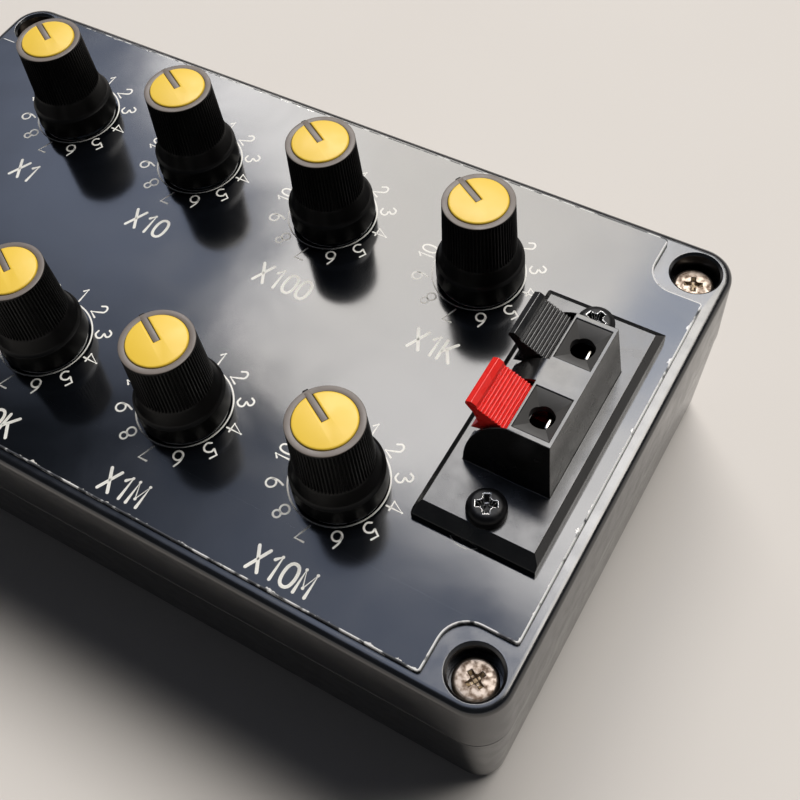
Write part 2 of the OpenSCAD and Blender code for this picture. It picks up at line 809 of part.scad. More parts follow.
module terminal_screws() {
    color("#121214")
        at_terminal_screws(panel_z + plate_t)
            pan_screw(terminal_screw_head_d, terminal_screw_head_h, terminal_screw_d, terminal_screw_l);
}

module terminal_washers() {
    color("#c4c6c8")
        at_terminal_screws(lid_under_z - m3_washer_t)
            washer(m3_washer_d, terminal_screw_d + 2 * fit_gap, m3_washer_t);
}

module terminal_nuts() {
    color("#c4c6c8")
        at_terminal_screws(lid_under_z - m3_washer_t - m3_nut_t)
            hex_nut(m3_nut_af, terminal_screw_d + 2 * fit_gap, m3_nut_t);
}

// Wiring

// End points of the wires, just below the lugs
function common_point(i) = [dial_x(i) + common_r, dial_y(i), lug_end_z - joint_gap];
function first_point(i) =
    [dial_x(i) + lug_ring_r * cos(lug_start), dial_y(i) + lug_ring_r * sin(lug_start), lug_end_z - joint_gap];
function at_height(p, z) = [p.x, p.y, z];

// Links from each switch's common lug to the first lug of the next switch in the chain
module link_wires() {
    color("#b03a2e")
        for (k = [0 : len(CHAIN) - 2]) {
            from = common_point(CHAIN[k]);
            to = first_point(CHAIN[k + 1]);
            wire([from, at_height(from, link_z), at_height(to, link_z), to], wire_od);
        }
}

// Leads from the terminal's tags to the two ends of the chain
module terminal_leads() {
    tag_z = panel_z + tag_end - joint_gap;
    ends = [first_point(CHAIN[0]), common_point(CHAIN[len(CHAIN) - 1])];
    color("#2e4fb0")
        for (s = [0, 1]) {
            side = 1 - 2 * s;
            tag = [terminal_x + tag_x, terminal_offset_y + side * wire_pitch / 2, tag_z];
            run_y = side * lead_run_y;
            wire([tag, at_height(tag, lead_run_z), [tag.x, run_y, lead_run_z], [ends[s].x, run_y, lead_run_z],
                  at_height(ends[s], lead_run_z), ends[s]], wire_od);
        }
}

// Assembly

base_shell();
lid();
front_panel();
lid_screws();
for (i = [0 : len(DECADES) - 1]) {
    place = [dial_x(i), dial_y(i), 0];
    on_shaft = place + [0, 0, knob_z];
    color("#19191b") translate(on_shaft) rotate(rest_angle) knob();
    color("#f5d553") translate(on_shaft + [0, 0, knob_h - cap_recess]) rotate(rest_angle) knob_cap();
    color("#9a9c9e") translate(place) rotate(lug_start) rotor_shaft();
    color("#3a2a20") translate(place) rotate(lug_start) switch_body();
    color("#6fa3c8") translate(place) resistors();
}
switch_frames();
switch_washers();
switch_nuts();
switch_lugs();
terminal_housing();
color("#d8201c") at_wire(-1) lever();  // lever_red
color("#1a1a1c") at_wire(1) lever();  // lever_black
color("#d0c8a8") at_wire(-1) contact();  // contact_red
color("#d0c8a8") at_wire(1) contact();  // contact_black
terminal_screws();
terminal_washers();
terminal_nuts();
link_wires();
terminal_leads();
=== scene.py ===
# %% [markdown]
# # A decade resistance box
# A bench instrument: a flat black plastic case, a glossy engraved panel, eight stepped dials with yellow
# caps and a spring terminal with a red and a black push lever.
# The CAD model is the fixed frame. It gives every place and size, and Blender gives the looks: softened
# edges, fine ribs, engraving, worn screws and finishes.

import json
import math

import bmesh
import bpy
from mathutils import Matrix, Vector


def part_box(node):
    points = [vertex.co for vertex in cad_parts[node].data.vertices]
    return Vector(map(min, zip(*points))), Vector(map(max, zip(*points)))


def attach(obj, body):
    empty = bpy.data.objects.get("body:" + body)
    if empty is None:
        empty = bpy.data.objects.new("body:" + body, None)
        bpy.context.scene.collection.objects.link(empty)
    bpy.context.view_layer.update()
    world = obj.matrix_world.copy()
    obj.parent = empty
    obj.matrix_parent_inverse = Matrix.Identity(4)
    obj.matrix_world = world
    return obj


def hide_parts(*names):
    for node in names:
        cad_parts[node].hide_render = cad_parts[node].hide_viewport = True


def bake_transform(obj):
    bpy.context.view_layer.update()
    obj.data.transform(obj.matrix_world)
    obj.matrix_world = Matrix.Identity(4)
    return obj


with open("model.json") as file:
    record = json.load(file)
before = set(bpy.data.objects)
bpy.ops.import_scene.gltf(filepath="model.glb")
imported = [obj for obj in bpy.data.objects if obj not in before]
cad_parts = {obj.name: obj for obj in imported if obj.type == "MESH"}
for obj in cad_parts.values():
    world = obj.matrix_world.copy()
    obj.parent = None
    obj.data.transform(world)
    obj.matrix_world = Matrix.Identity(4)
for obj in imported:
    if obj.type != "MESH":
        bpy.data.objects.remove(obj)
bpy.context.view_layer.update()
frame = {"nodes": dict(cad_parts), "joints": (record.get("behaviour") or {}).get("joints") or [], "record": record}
MM = 0.001


def add_object(name, data):
    """A new object in the scene, for a mesh, camera, lamp or curve."""
    made = bpy.data.objects.new(name, data)
    bpy.context.scene.collection.objects.link(made)
    return made


def to_mesh(name, edit):
    """A new mesh made from a bmesh, which is freed."""
    mesh = bpy.data.meshes.new(name)
    edit.to_mesh(mesh)
    edit.free()
    return mesh


# %% [markdown]
# ## The camera
# Matching the knob rims, the panel's edges and the screws of the CAD model to their places in the
# photograph gives one position, one direction and one focal length of the camera. Its own axes are set,
# because they carry the roll too.

# %% Camera
CAMERA_AT = Vector((99.73, -82.20, 190.07)) * MM
VIEW_RIGHT = Vector((0.86134, 0.50210, -0.07738))
VIEW_FORWARD = Vector((-0.32619, 0.42981, -0.84194))
FOCAL_PIXELS = 1120.7
IMAGE_PIXELS = 800

camera = add_object("camera", bpy.data.cameras.new("camera"))
camera.data.sensor_fit = "HORIZONTAL"
camera.data.sensor_width = 36
camera.data.lens = camera.data.sensor_width * FOCAL_PIXELS / IMAGE_PIXELS
axes = Matrix((VIEW_RIGHT, VIEW_RIGHT.cross(VIEW_FORWARD), -VIEW_FORWARD)).transposed()
camera.matrix_world = Matrix.Translation(CAMERA_AT) @ axes.to_4x4()
bpy.context.scene.camera = camera
bpy.context.scene.view_settings.view_transform = "Standard"
print("lens", round(camera.data.lens, 2), "mm")

# %% [markdown]
# ## Colours and nodes
# Colours are written as sRGB hex codes, as a paint chart gives them, and shaders work in linear light, so
# one function turns the first into the second. A second small function adds any shader node: its settings
# are attributes of the node, and its inputs are plain values, colour codes or other nodes.

# %% Colour and node helpers
def linear(code):
    """An sRGB hex colour as the linear RGBA that a shader takes."""
    channels = [int(code[i:i + 2], 16) / 255 for i in (1, 3, 5)]
    return [c / 12.92 if c <= 0.04045 else ((c + 0.055) / 1.055) ** 2.4 for c in channels] + [1.0]


def set_inputs(tree, node, inputs):
    """Links an input that is a socket or a node, by its first output in use, and sets any other."""
    for name, value in inputs.items():
        if isinstance(value, str):
            value = linear(value)
        if isinstance(value, bpy.types.Node):
            value = next(socket for socket in value.outputs if socket.enabled)
        if isinstance(value, bpy.types.NodeSocket):
            tree.links.new(value, node.inputs[name])
        else:
            node.inputs[name].default_value = value


def add_node(tree, kind, inputs=None, **settings):
    """Adds a shader node with its settings and its inputs."""
    node = tree.nodes.new("ShaderNode" + kind)
    for name, value in settings.items():
        setattr(node, name, value)
    set_inputs(tree, node, inputs or {})
    return node


print("mid grey", [round(c, 3) for c in linear("#808080")])

# %% [markdown]
# ## Table
# The box stands on a pale painted table. One large grid is enough, since nothing on it needs relief; a
# faint cloud in its colour keeps it from looking like an empty page.

# %% Table
TABLE_HALF = 8

table_edit = bmesh.new()
bmesh.ops.create_grid(table_edit, x_segments=8, y_segments=8, size=TABLE_HALF)
table_mesh = to_mesh("table", table_edit)
floor = add_object("table", table_mesh)

# Matt white paint, a little warm
table_paint = bpy.data.materials.new("table_paint")
table_paint.use_nodes = True
tree = table_paint.node_tree
place = add_node(tree, "TexCoord").outputs["Object"]
cloud = add_node(tree, "TexNoise", {"Vector": place, "Scale": 9, "Detail": 3})
tone = add_node(tree, "Mix", {"Factor": cloud, "A": "#d8d4d1", "B": "#dfdcd9"}, data_type="RGBA")
set_inputs(tree, tree.nodes["Principled BSDF"],
           {"Base Color": tone, "Roughness": 0.6, "Specular IOR Level": 0.3})
table_mesh.materials.append(table_paint)
print("table", [round(d, 2) for d in floor.dimensions])


# %% [markdown]
# ## Window
# A long window behind the box lights it from high up. Its mirror image fills the right half of the glossy
# panel, and the box throws a short dark shadow towards the front.
# A near lamp would light the table unevenly, so the window is far away and large. It is built of panes,
# one area lamp each, because the panel mirrors its outline: a bluish pane and one that stands apart give
# the panel its cooler and darker patches. Places and sizes are shares of the distance, as seen from the
# box. A lamp's power follows from the brightness and the size of its pane.

# %% Window
def direction(azimuth, elevation):
    """The unit vector at a compass angle from +X and a height angle, in degrees."""
    a, e = math.radians(azimuth), math.radians(elevation)
    return Vector((math.cos(e) * math.cos(a), math.cos(e) * math.sin(a), math.sin(e)))


WINDOW_AWAY = 4.0
WINDOW_TOWARD = direction(90, 62)
WINDOW_TILT = math.radians(12)
WINDOW_CENTRE = (0.022, -0.04)
DAYLIGHT = (8.9, "#fffaf3")
BLUE_SKY = (5.2, "#dfe8fb")
# For each pane: place to the right and up, width, height, and brightness with colour
PANES = {
    "left_pane": (-0.379, 0.0, 0.342, 0.42, DAYLIGHT),
    "right_pane": (0.21, 0.0, 0.68, 0.42, DAYLIGHT),
    "upper_pane": (-0.169, 0.12, 0.078, 0.18, DAYLIGHT),
    "blue_pane": (-0.169, -0.09, 0.078, 0.24, BLUE_SKY),
    "side_pane": (-0.669, -0.062, 0.24, 0.2, DAYLIGHT),
}

level = Vector((1, 0, 0))
upward = level.cross(WINDOW_TOWARD)
centre = WINDOW_TOWARD + level * WINDOW_CENTRE[0] + upward * WINDOW_CENTRE[1]
along = level * math.cos(WINDOW_TILT) + upward * math.sin(WINDOW_TILT)
across = WINDOW_TOWARD.cross(-along)
pane_axes = Matrix((-along, across, WINDOW_TOWARD)).transposed().to_4x4()
for name, (right, up, width, height, (radiance, colour)) in PANES.items():
    pane = add_object(name, bpy.data.lights.new(name, "AREA"))
    pane.data.shape = "RECTANGLE"
    pane.data.size = width * WINDOW_AWAY
    pane.data.size_y = height * WINDOW_AWAY
    pane.data.energy = math.pi * radiance * pane.data.size * pane.data.size_y
    pane.data.color = linear(colour)[:3]
    middle = (centre + along * right + across * up) * WINDOW_AWAY
    pane.matrix_world = Matrix.Translation(middle) @ pane_axes
    print(name, round(pane.data.energy), "W at", [round(c, 2) for c in middle])

# %% [markdown]
# ## Room
# The rest of the room is a dim world. A pale horizon and two soft bluish glows beside the window are only
# for what is seen directly or in a reflection, which the Light Path node tells apart, so they add no
# light to the shadow.

# %% Room
# For each glow: its centre, the angle in degrees over which it fades, and its brightness
GLOWS = ((direction(143, 43), 13, 2.1), (direction(119, 72), 25, 1.75))

world = bpy.data.worlds.new("room")
world.use_nodes = True
bpy.context.scene.world = world
tree = world.node_tree
toward = add_node(tree, "TexCoord").outputs["Generated"]
height = add_node(tree, "SeparateXYZ", {"Vector": toward}).outputs["Z"]
rise = add_node(tree, "MapRange", {"Value": height, "From Min": 0.1, "From Max": 0.4},
                interpolation_type="SMOOTHSTEP")
shown = add_node(tree, "Mix", {"Factor": rise, "A": "#dcd8d5", "B": "#3a4048"}, data_type="RGBA")
for centre, spread, radiance in GLOWS:
    lean = add_node(tree, "VectorMath", {0: toward, 1: centre}, operation="DOT_PRODUCT")
    glow = add_node(tree, "MapRange", {"Value": lean, "To Max": radiance, "From Max": 1.0,
                                       "From Min": math.cos(math.radians(spread))},
                    interpolation_type="SMOOTHSTEP")
    patch = add_node(tree, "VectorMath", {0: linear("#d3e0ff")[:3], "Scale": glow}, operation="SCALE")
    shown = add_node(tree, "VectorMath", {0: shown, 1: patch}, operation="ADD")
ray = add_node(tree, "LightPath").outputs
mirrored = add_node(tree, "Math", {0: ray["Is Glossy Ray"], 1: ray["Is Transmission Ray"]},
                    operation="MAXIMUM")
seen = add_node(tree, "Math", {0: ray["Is Camera Ray"], 1: mirrored}, operation="MAXIMUM")
sky = add_node(tree, "Mix", {"Factor": seen, "A": "#2b2c2f", "B": shown}, data_type="RGBA")
set_inputs(tree, tree.nodes["Background"], {"Color": sky})
print("room", len(tree.nodes), "nodes")

# %% [markdown]
# ## Finishes
# Each finish starts from the real material. Most pieces are moulded plastic: one base colour that drifts
# a little, a gloss that differs from spot to spot where hands have touched it, and a fine relief from the
# mould. One function builds that family, because only its numbers differ. Pattern sizes are real ones in
# millimetres: a noise texture of scale 1 / size has features of about that size.

# %% Plastics
def start_material(name):
    """A new material with its node tree, its shader and the object's own coordinates."""
    material = bpy.data.materials.new(name)
    material.use_nodes = True
    tree = material.node_tree
    return material, tree, tree.nodes["Principled BSDF"], add_node(tree, "TexCoord").outputs["Object"]


def moulded(name, colour, drift, gloss, grain, relief, specular=0.5):
    """Moulded plastic: two near colours, a roughness between two values, a mould grain in mm."""
    material, tree, shader, place = start_material(name)
    stain = add_node(tree, "TexNoise", {"Vector": place, "Scale": 1 / (7 * MM), "Detail": 4})
    tone = add_node(tree, "Mix", {"Factor": stain, "A": colour, "B": drift}, data_type="RGBA")
    touch = add_node(tree, "TexNoise", {"Vector": place, "Scale": 1 / (3 * MM), "Detail": 5})
    sheen = add_node(tree, "MapRange", {"Value": touch, "From Min": 0.35, "From Max": 0.65,
                                        "To Min": gloss[0], "To Max": gloss[1]})
    skin = add_node(tree, "TexNoise", {"Vector": place, "Scale": 1 / (grain * MM), "Detail": 2})
    bump = add_node(tree, "Bump", {"Height": skin, "Distance": relief * MM})
    set_inputs(tree, shader, {"Base Color": tone, "Roughness": sheen, "Normal": bump,
                              "Specular IOR Level": specular})
    return material


# Black ABS from a polished mould: deep black and glossy, so that it mirrors table and window softly
case_abs = moulded("case_abs_black", "#070708", "#0c0c0e", (0.17, 0.25), 0.6, 0.0008, specular=1.0)
# Black nylon of the knobs: satin, nearly black where no light falls
knob_nylon = moulded("knob_nylon_black", "#060606", "#0d0c0c", (0.34, 0.44), 0.3, 0.003, specular=0.22)
# The same nylon on the knob's rim and pointer, rubbed dull by fingers and painted a lighter grey as the
# sheen that the window puts on these faces on top
rubbed_and_painted_sheen_nylon = moulded("knob_nylon_rubbed_and_painted_sheen", "#655d57", "#746b65", (0.38, 0.5), 0.4, 0.004)
# Yellow ABS of the caps: opaque, warm, smooth
cap_abs = moulded("cap_abs_yellow", "#f0c93f", "#f4d04a", (0.34, 0.44), 0.4, 0.002)
# Black ABS of the terminal: satin from a spark-eroded mould, and grey where it faces the window
terminal_abs = moulded("terminal_abs_black", "#101010", "#181818", (0.2, 0.28), 0.35, 0.002, specular=0.65)
# The same ABS in the funnels, where the spark-eroded mould was left coarse: matt and dusty grey
funnel_abs = moulded("terminal_abs_eroded", "#3a3a3a", "#474645", (0.5, 0.65), 0.3, 0.006)
# Red polycarbonate of one lever: saturated and glossy
lever_red = moulded("lever_polycarbonate_red", "#e61c16", "#f02a22", (0.22, 0.32), 0.5, 0.001)
# Black polycarbonate of the other lever: glossy, with bright rib crests
lever_black = moulded("lever_polycarbonate_black", "#0b0b0c", "#141414", (0.2, 0.28), 0.5, 0.001,
                      specular=0.8)
plastics = (case_abs, knob_nylon, rubbed_and_painted_sheen_nylon, cap_abs, terminal_abs, funnel_abs, lever_red, lever_black)
print("plastics", [material.name for material in plastics])

# %% [markdown]
# The panel is engraving laminate: a thin gloss black skin on a white core. Its surface is not quite flat,
# which bends reflections into soft clouds, so a long shallow wave goes into the bump as well as a fine
# orange peel. Along the sheet's straight edges the saw has bitten small chips out of the skin. A chip is
# where a noise, read as a depth in millimetres, is larger than the distance from the edge. There the
# white core shows.

# %% Panel skin
CHIP_DEPTH = 0.9

panel_low, panel_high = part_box("front_panel")
panel_skin, tree, shader, place = start_material("laminate_skin_gloss_black")
wave = add_node(tree, "TexNoise", {"Vector": place, "Scale": 1 / (28 * MM), "Detail": 2})
peel = add_node(tree, "TexNoise", {"Vector": place, "Scale": 1 / (2.5 * MM), "Detail": 2})
smear = add_node(tree, "TexNoise", {"Vector": place, "Scale": 1 / (16 * MM), "Detail": 6,
                                    "Distortion": 0.6})
long_wave = add_node(tree, "Bump", {"Height": wave, "Distance": 0.2 * MM})
orange_peel = add_node(tree, "Bump", {"Height": peel, "Distance": 0.003 * MM, "Normal": long_wave})
haze = add_node(tree, "MapRange", {"Value": smear, "From Min": 0.3, "From Max": 0.7,
                                   "To Min": 0.09, "To Max": 0.17})
tone = add_node(tree, "Mix", {"Factor": smear, "A": "#07080b", "B": "#0c0f14"}, data_type="RGBA")
bite = add_node(tree, "TexNoise", {"Vector": place, "Scale": 1 / (2.4 * MM), "Detail": 5, "Roughness": 0.6})
depth = add_node(tree, "MapRange", {"Value": bite, "From Min": 0.5, "From Max": 0.78,
                                    "To Max": CHIP_DEPTH * MM})
inward = add_node(tree, "VectorMath", {0: place}, operation="ABSOLUTE")
margin = add_node(tree, "VectorMath", {0: panel_high, 1: inward}, operation="SUBTRACT")
sides = add_node(tree, "SeparateXYZ", {"Vector": margin}).outputs
nearest = add_node(tree, "Math", {0: sides["X"], 1: sides["Y"]}, operation="MINIMUM")
chipped = add_node(tree, "Math", {0: nearest, 1: depth}, operation="LESS_THAN")
skin = add_node(tree, "Mix", {"Factor": chipped, "A": tone, "B": "#dcdad6"}, data_type="RGBA")
set_inputs(tree, shader, {"Base Color": skin, "Roughness": haze, "Normal": orange_peel, "IOR": 1.62})
print("skin", panel_skin.name, len(tree.nodes), "nodes")

# %% Panel core
# White ABS core, laid bare by the cutter: matt, with stretches where the skin is smeared over it,
# more of them on the two long sides
panel_core, tree, shader, place = start_material("laminate_core_white")
smeared = add_node(tree, "TexNoise", {"Vector": place, "Scale": 1 / (3 * MM), "Detail": 5})
inward = add_node(tree, "VectorMath", {0: place}, operation="ABSOLUTE")
sideways = add_node(tree, "SeparateXYZ", {"Vector": inward}).outputs["Y"]
long_side = add_node(tree, "MapRange", {"Value": sideways, "From Min": panel_high.y - 0.6 * MM,
                                        "From Max": panel_high.y - 0.4 * MM, "To Max": 0.13})
clean = add_node(tree, "Math", {0: smeared, 1: long_side}, operation="SUBTRACT")
bare = add_node(tree, "MapRange", {"Value": clean, "From Min": 0.36, "From Max": 0.42})
tone = add_node(tree, "Mix", {"Factor": bare, "A": "#3a3d42", "B": "#e2e3e4"}, data_type="RGBA")
set_inputs(tree, shader, {"Base Color": tone, "Roughness": 0.6})

# The same core at the bottom of the engraved strokes: clean white, matt
engraved_core = moulded("engraved_core_white", "#eeeeea", "#f6f6f2", (0.5, 0.65), 0.4, 0.004)
print("core", panel_core.name, engraved_core.name)


# %% [markdown]
# Metals: the lid screws are nickel plated and worn, with brown dirt in the cross. The terminal's screws
# are blackened steel that is rubbed bright on its edges. Contacts, bushings and lugs are plain bright
# metals. One function covers them: a tint that drifts between a clean and a stained colour, and a
# roughness that follows it.

# %% Metals
def plated(name, clean, stained, gloss, spot, fill=0.5, metallic=1.0, specular=0.5):
    """Plated or blackened metal: clean and stained patches of some mm, the stain the rougher."""
    material, tree, shader, place = start_material(name)
    patches = add_node(tree, "TexNoise", {"Vector": place, "Scale": 1 / (spot * MM), "Detail": 6})
    mask = add_node(tree, "MapRange", {"Value": patches, "From Min": fill - 0.12,
                                       "From Max": fill + 0.12})
    tone = add_node(tree, "Mix", {"Factor": mask, "A": clean, "B": stained}, data_type="RGBA")
    rough = add_node(tree, "MapRange", {"Value": mask, "To Min": gloss[0], "To Max": gloss[1]})
    dents = add_node(tree, "Bump", {"Height": patches, "Distance": 0.02 * MM})
    set_inputs(tree, shader, {"Base Color": tone, "Roughness": rough, "Normal": dents,
                              "Metallic": metallic, "Specular IOR Level": specular})
    return material


# Nickel plating, worn: warm grey with brown patches
worn_nickel = plated("nickel_plate_worn", "#978b7f", "#5a4b3f", (0.36, 0.58), 0.8, 0.53)
# Old dirt in the cross recess: tan to brown, hardly metallic
recess_dirt = plated("recess_dirt_brown", "#a5906f", "#5d4a36", (0.45, 0.65), 0.6, 0.52, metallic=0.2)
# Blackened steel: the oxide hides the metal, so it is near black with faint grey rub marks
black_steel = plated("blackened_steel", "#08080a", "#141416", (0.36, 0.5), 0.9, 0.6, metallic=0.0,
                     specular=0.2)
# The same steel where a screwdriver has rubbed the blackening off an edge: bright and scratched
bared_steel = plated("blackened_steel_rubbed_bright", "#d9d8d6", "#77777a", (0.25, 0.4), 0.5, 0.6)
# Nickel silver spring strip: bright and smooth
spring_strip = plated("nickel_silver_strip", "#d8d4cb", "#b9b2a4", (0.2, 0.3), 2.0)
# Zinc plated steel of frames, nuts and washers: bluish grey, faintly mottled
zinc_steel = plated("zinc_plate", "#b9bcc0", "#9da2a8", (0.3, 0.42), 1.5)
# Brass of the solder lugs: yellow metal, tinned in patches
lug_brass = plated("brass_lug", "#c9a653", "#d2cdc2", (0.25, 0.4), 1.0, 0.6)
# Ground steel of the shafts: even and bright
shaft_steel = plated("ground_steel", "#c4c4c2", "#a8a8a6", (0.2, 0.32), 2.5)
metals = (worn_nickel, recess_dirt, black_steel, bared_steel, spring_strip, zinc_steel, lug_brass,
          shaft_steel)
print("metals", [material.name for material in metals])

# %% [markdown]
# ## Parts kept from the CAD model
# Switches, resistors, nuts, washers, lugs and wires are inside the case or under the knobs. Their CAD
# shapes are right and stay, and only get a finish.

# %% Finishes of the kept nodes
# Brown phenolic of the switch cups: dense, slightly mottled
phenolic = moulded("phenolic_brown", "#3a2418", "#4a2f1f", (0.4, 0.55), 0.8, 0.01)
# Lacquer of metal film resistors: pale blue
resistor_lacquer = moulded("resistor_lacquer_blue", "#7fb2cf", "#91c0d8", (0.3, 0.45), 0.6, 0.006)
# PVC insulation, red and blue: soft and slightly shiny
pvc_red = moulded("pvc_wire_red", "#b3201c", "#c22a24", (0.35, 0.45), 0.6, 0.004)
pvc_blue = moulded("pvc_wire_blue", "#23479c", "#2b54ad", (0.35, 0.45), 0.6, 0.004)

KEPT = {
    "rotor_shaft": shaft_steel, "switch_body": phenolic, "resistors": resistor_lacquer,
    "switch_frames": zinc_steel, "switch_washers": zinc_steel, "switch_nuts": zinc_steel,
    "switch_lugs": lug_brass, "terminal_washers": zinc_steel, "terminal_nuts": zinc_steel,
    "link_wires": pvc_blue, "terminal_leads": pvc_red,
}
kept_count = 0
for name, node in frame["nodes"].items():
    finish = [material for prefix, material in KEPT.items() if name.startswith(prefix)]
    if finish:
        node.data.materials.clear()
        node.data.materials.append(finish[0])
        kept_count += 1
print(kept_count, "CAD nodes keep their shape")


# %% [markdown]
# ## From a mesh in memory to a piece of the object
# A new piece is built as a bmesh, a mesh in memory that operators shape. The first helper writes it into
# an object at the origin, lets it ride on its CAD body and hides the CAD nodes it stands for; a piece
# given two bodies just stays where it is. Smooth shading with a sharp-edge angle keeps round walls round
# and corners crisp, and level tops are shaded flat, so that they mirror evenly.
# A live Bevel modifier gives every corner the small radius that catches light, and can give the new faces
# a material of their own, which is how an edge looks worn.

# %% Piece helpers
SHARP_ANGLE = math.radians(32)
LEVEL = 0.9999
WELD = 0.001 * MM


def add_piece(name, edit, materials, body, nodes=(), edge=0.0, edge_material=-1):
    """Makes a bmesh a piece that hides the CAD nodes it stands for and rides on a body, or stays put."""
    mesh = to_mesh(name, edit)
    if "custom_normal" in mesh.attributes:
        mesh.attributes.remove(mesh.attributes["custom_normal"])
    for material in materials:
        mesh.materials.append(material)
    for polygon in mesh.polygons:
        polygon.use_smooth = polygon.normal.z < LEVEL
    mesh.set_sharp_from_angle(angle=SHARP_ANGLE)
    piece = add_object(name, mesh)
    if edge:
        soften = piece.modifiers.new("soft_edges", "BEVEL")
        soften.width = edge * MM
        soften.segments = 2
        soften.limit_method = "ANGLE"
        soften.angle_limit = SHARP_ANGLE
        soften.harden_normals = True
        # Clamping would shrink every bevel of the mesh to what its shortest edge allows
        soften.use_clamp_overlap = False
        soften.material = edge_material
    if isinstance(body, str):
        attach(piece, body)
    else:
        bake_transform(piece)
    if nodes:
        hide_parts(*nodes)
    return piece


def merged_copy(node):
    """A CAD node's mesh with its loose triangles joined and flat neighbours dissolved, as a bmesh."""
    edit = bmesh.new()
    edit.from_mesh(frame["nodes"][node].data)
    bmesh.ops.remove_doubles(edit, verts=edit.verts, dist=2 * WELD)
    bmesh.ops.dissolve_limit(edit, angle_limit=math.radians(0.4), verts=edit.verts, edges=edit.edges)
    for face in edit.faces:
        face.material_index = 0
    return edit


def weld(edit):
    """Joins the points of a bmesh that coincide, and turns its faces outwards."""
    bmesh.ops.remove_doubles(edit, verts=edit.verts, dist=WELD)
    bmesh.ops.recalc_face_normals(edit, faces=edit.faces)


def spun(profile, steps):
    """A closed turned shape: the (radius, height) profile in mm, spun once round Z, as a bmesh."""
    edit = bmesh.new()
    corners = [edit.verts.new((r * MM, 0, z * MM)) for r, z in profile]
    edges = [edit.edges.new(pair) for pair in zip(corners, corners[1:])]
    bmesh.ops.spin(edit, geom=corners + edges, cent=(0, 0, 0), axis=(0, 0, 1), angle=2 * math.pi,
                   steps=steps, use_merge=True)
    weld(edit)
    return edit


def rounded_bar(edit, low, high, radius):
    """Adds a box between two corners, in mm, with rounded edges."""
    size, middle = Vector(high) - Vector(low), (Vector(high) + Vector(low)) / 2
    made = bmesh.ops.create_cube(edit, size=1, matrix=Matrix.Translation(middle * MM)
                                 @ Matrix.Diagonal((*(size * MM), 1)))
    if not radius:
        return
    edges = dict.fromkeys(edge for vert in made["verts"] for edge in vert.link_edges)
    bmesh.ops.bevel(edit, geom=list(edges), offset=radius * MM, offset_type="OFFSET", segments=2,
                    profile=0.5, affect="EDGES", material=-1)


def joined(parts):
    """Several bmeshes as one; the single ones are freed."""
    together = bmesh.new()
    for part in parts:
        together.from_mesh(to_mesh("part", part))
    return together


print("sharp above", round(math.degrees(SHARP_ANGLE)), "degrees")


# %% [markdown]
# A Boolean cuts one shape out of another, for the seam, the cross recesses and the wire funnels. A curve
# object fills flat outlines, sweeps a round bevel along a line, and becomes a mesh at once; its points
# come from arcs and a few corners.

# %% Cuts and curves
def arc(centre, radius, start, end, steps):
    """Points of a circular arc, both ends included; angles in degrees."""
    angles = [math.radians(start + (end - start) * i / steps) for i in range(steps + 1)]
    return [(centre[0] + radius * math.cos(a), centre[1] + radius * math.sin(a)) for a in angles]


def cut(edit, cutter):
    """The first bmesh less the second; cut faces keep the cutter's material."""
    holders = []
    for source in (edit, cutter):
        mesh = to_mesh("cutting", source)
        for _ in range(2):
            mesh.materials.append(None)
        holders.append(add_object("cutting", mesh))
    work = holders[0].modifiers.new("cut", "BOOLEAN")
    work.object = holders[1]
    work.operation = "DIFFERENCE"
    work.solver = "EXACT"
    result = bmesh.new()
    result.from_mesh(bpy.data.meshes.new_from_object(
        holders[0].evaluated_get(bpy.context.evaluated_depsgraph_get())))
    for holder in holders:
        bpy.data.objects.remove(holder)
    return result


def curve_mesh(splines, **settings):
    """Poly and Bezier splines, as (kind, points, closed), made into a mesh by the curve's settings."""
    curve = bpy.data.curves.new("outline", "CURVE")
    for name, value in settings.items():
        setattr(curve, name, value)
    for kind, points, closed in splines:
        spline = curve.splines.new(kind)
        held = spline.bezier_points if kind == "BEZIER" else spline.points
        held.add(len(points) - 1)
        for knot, (x, y) in zip(held, points):
            if kind == "BEZIER":
                knot.co = (x * MM, y * MM, 0)
                knot.handle_left_type = knot.handle_right_type = "AUTO"
            else:
                knot.co = (x * MM, y * MM, 0, 1)
        spline.use_cyclic_u = closed
    holder = add_object("outline", curve)
    mesh = bpy.data.meshes.new_from_object(holder.evaluated_get(bpy.context.evaluated_depsgraph_get()))
    bpy.data.objects.remove(holder)
    bpy.data.curves.remove(curve)
    return mesh


print("quarter circle of", len(arc((0, 0), 1, 0, 90, 2)), "points")

# %% [markdown]
# ## Case
# Lid and base are two mouldings that meet in a seam. Their CAD shapes already have the corner radii, the
# draft and the screw wells, so merged copies only need soft edges where the mould's parts meet.
# The seam shows as a fine dark line because the base steps back under the lid. That step is a groove: a
# flat frame round the case, with the case's rounded outline as its hole, is cut out of the base.

# %% Lid and base
SEAM_Z, SEAM_H, SEAM_DEPTH = 25.0, 0.8, 0.8
CASE_CORNER_R = 6.0
CASE_EDGE = 0.08
FRAME_W = 5

lid_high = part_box("lid")[1]
half_x, half_y = lid_high.x / MM - SEAM_DEPTH, lid_high.y / MM - SEAM_DEPTH
inner_r = CASE_CORNER_R - SEAM_DEPTH
inner, outer = [], []
for sx, sy, start in ((1, 1, 0), (-1, 1, 90), (-1, -1, 180), (1, -1, 270)):
    inner += arc((sx * (half_x - inner_r), sy * (half_y - inner_r)), inner_r, start, start + 90, 10)
    outer.append((sx * (half_x + FRAME_W), sy * (half_y + FRAME_W)))
frame_mesh = curve_mesh([("POLY", outer, True), ("POLY", inner, True)], dimensions="2D", fill_mode="BOTH",
                        extrude=SEAM_H * MM)
frame_mesh.transform(Matrix.Translation((0, 0, SEAM_Z * MM)))
groove = bmesh.new()
groove.from_mesh(frame_mesh)
weld(groove)
grooved = cut(merged_copy("base_shell"), groove)
base = add_piece("base_shell_moulding", grooved, [case_abs], "case", ["base_shell"],
                 edge=CASE_EDGE)
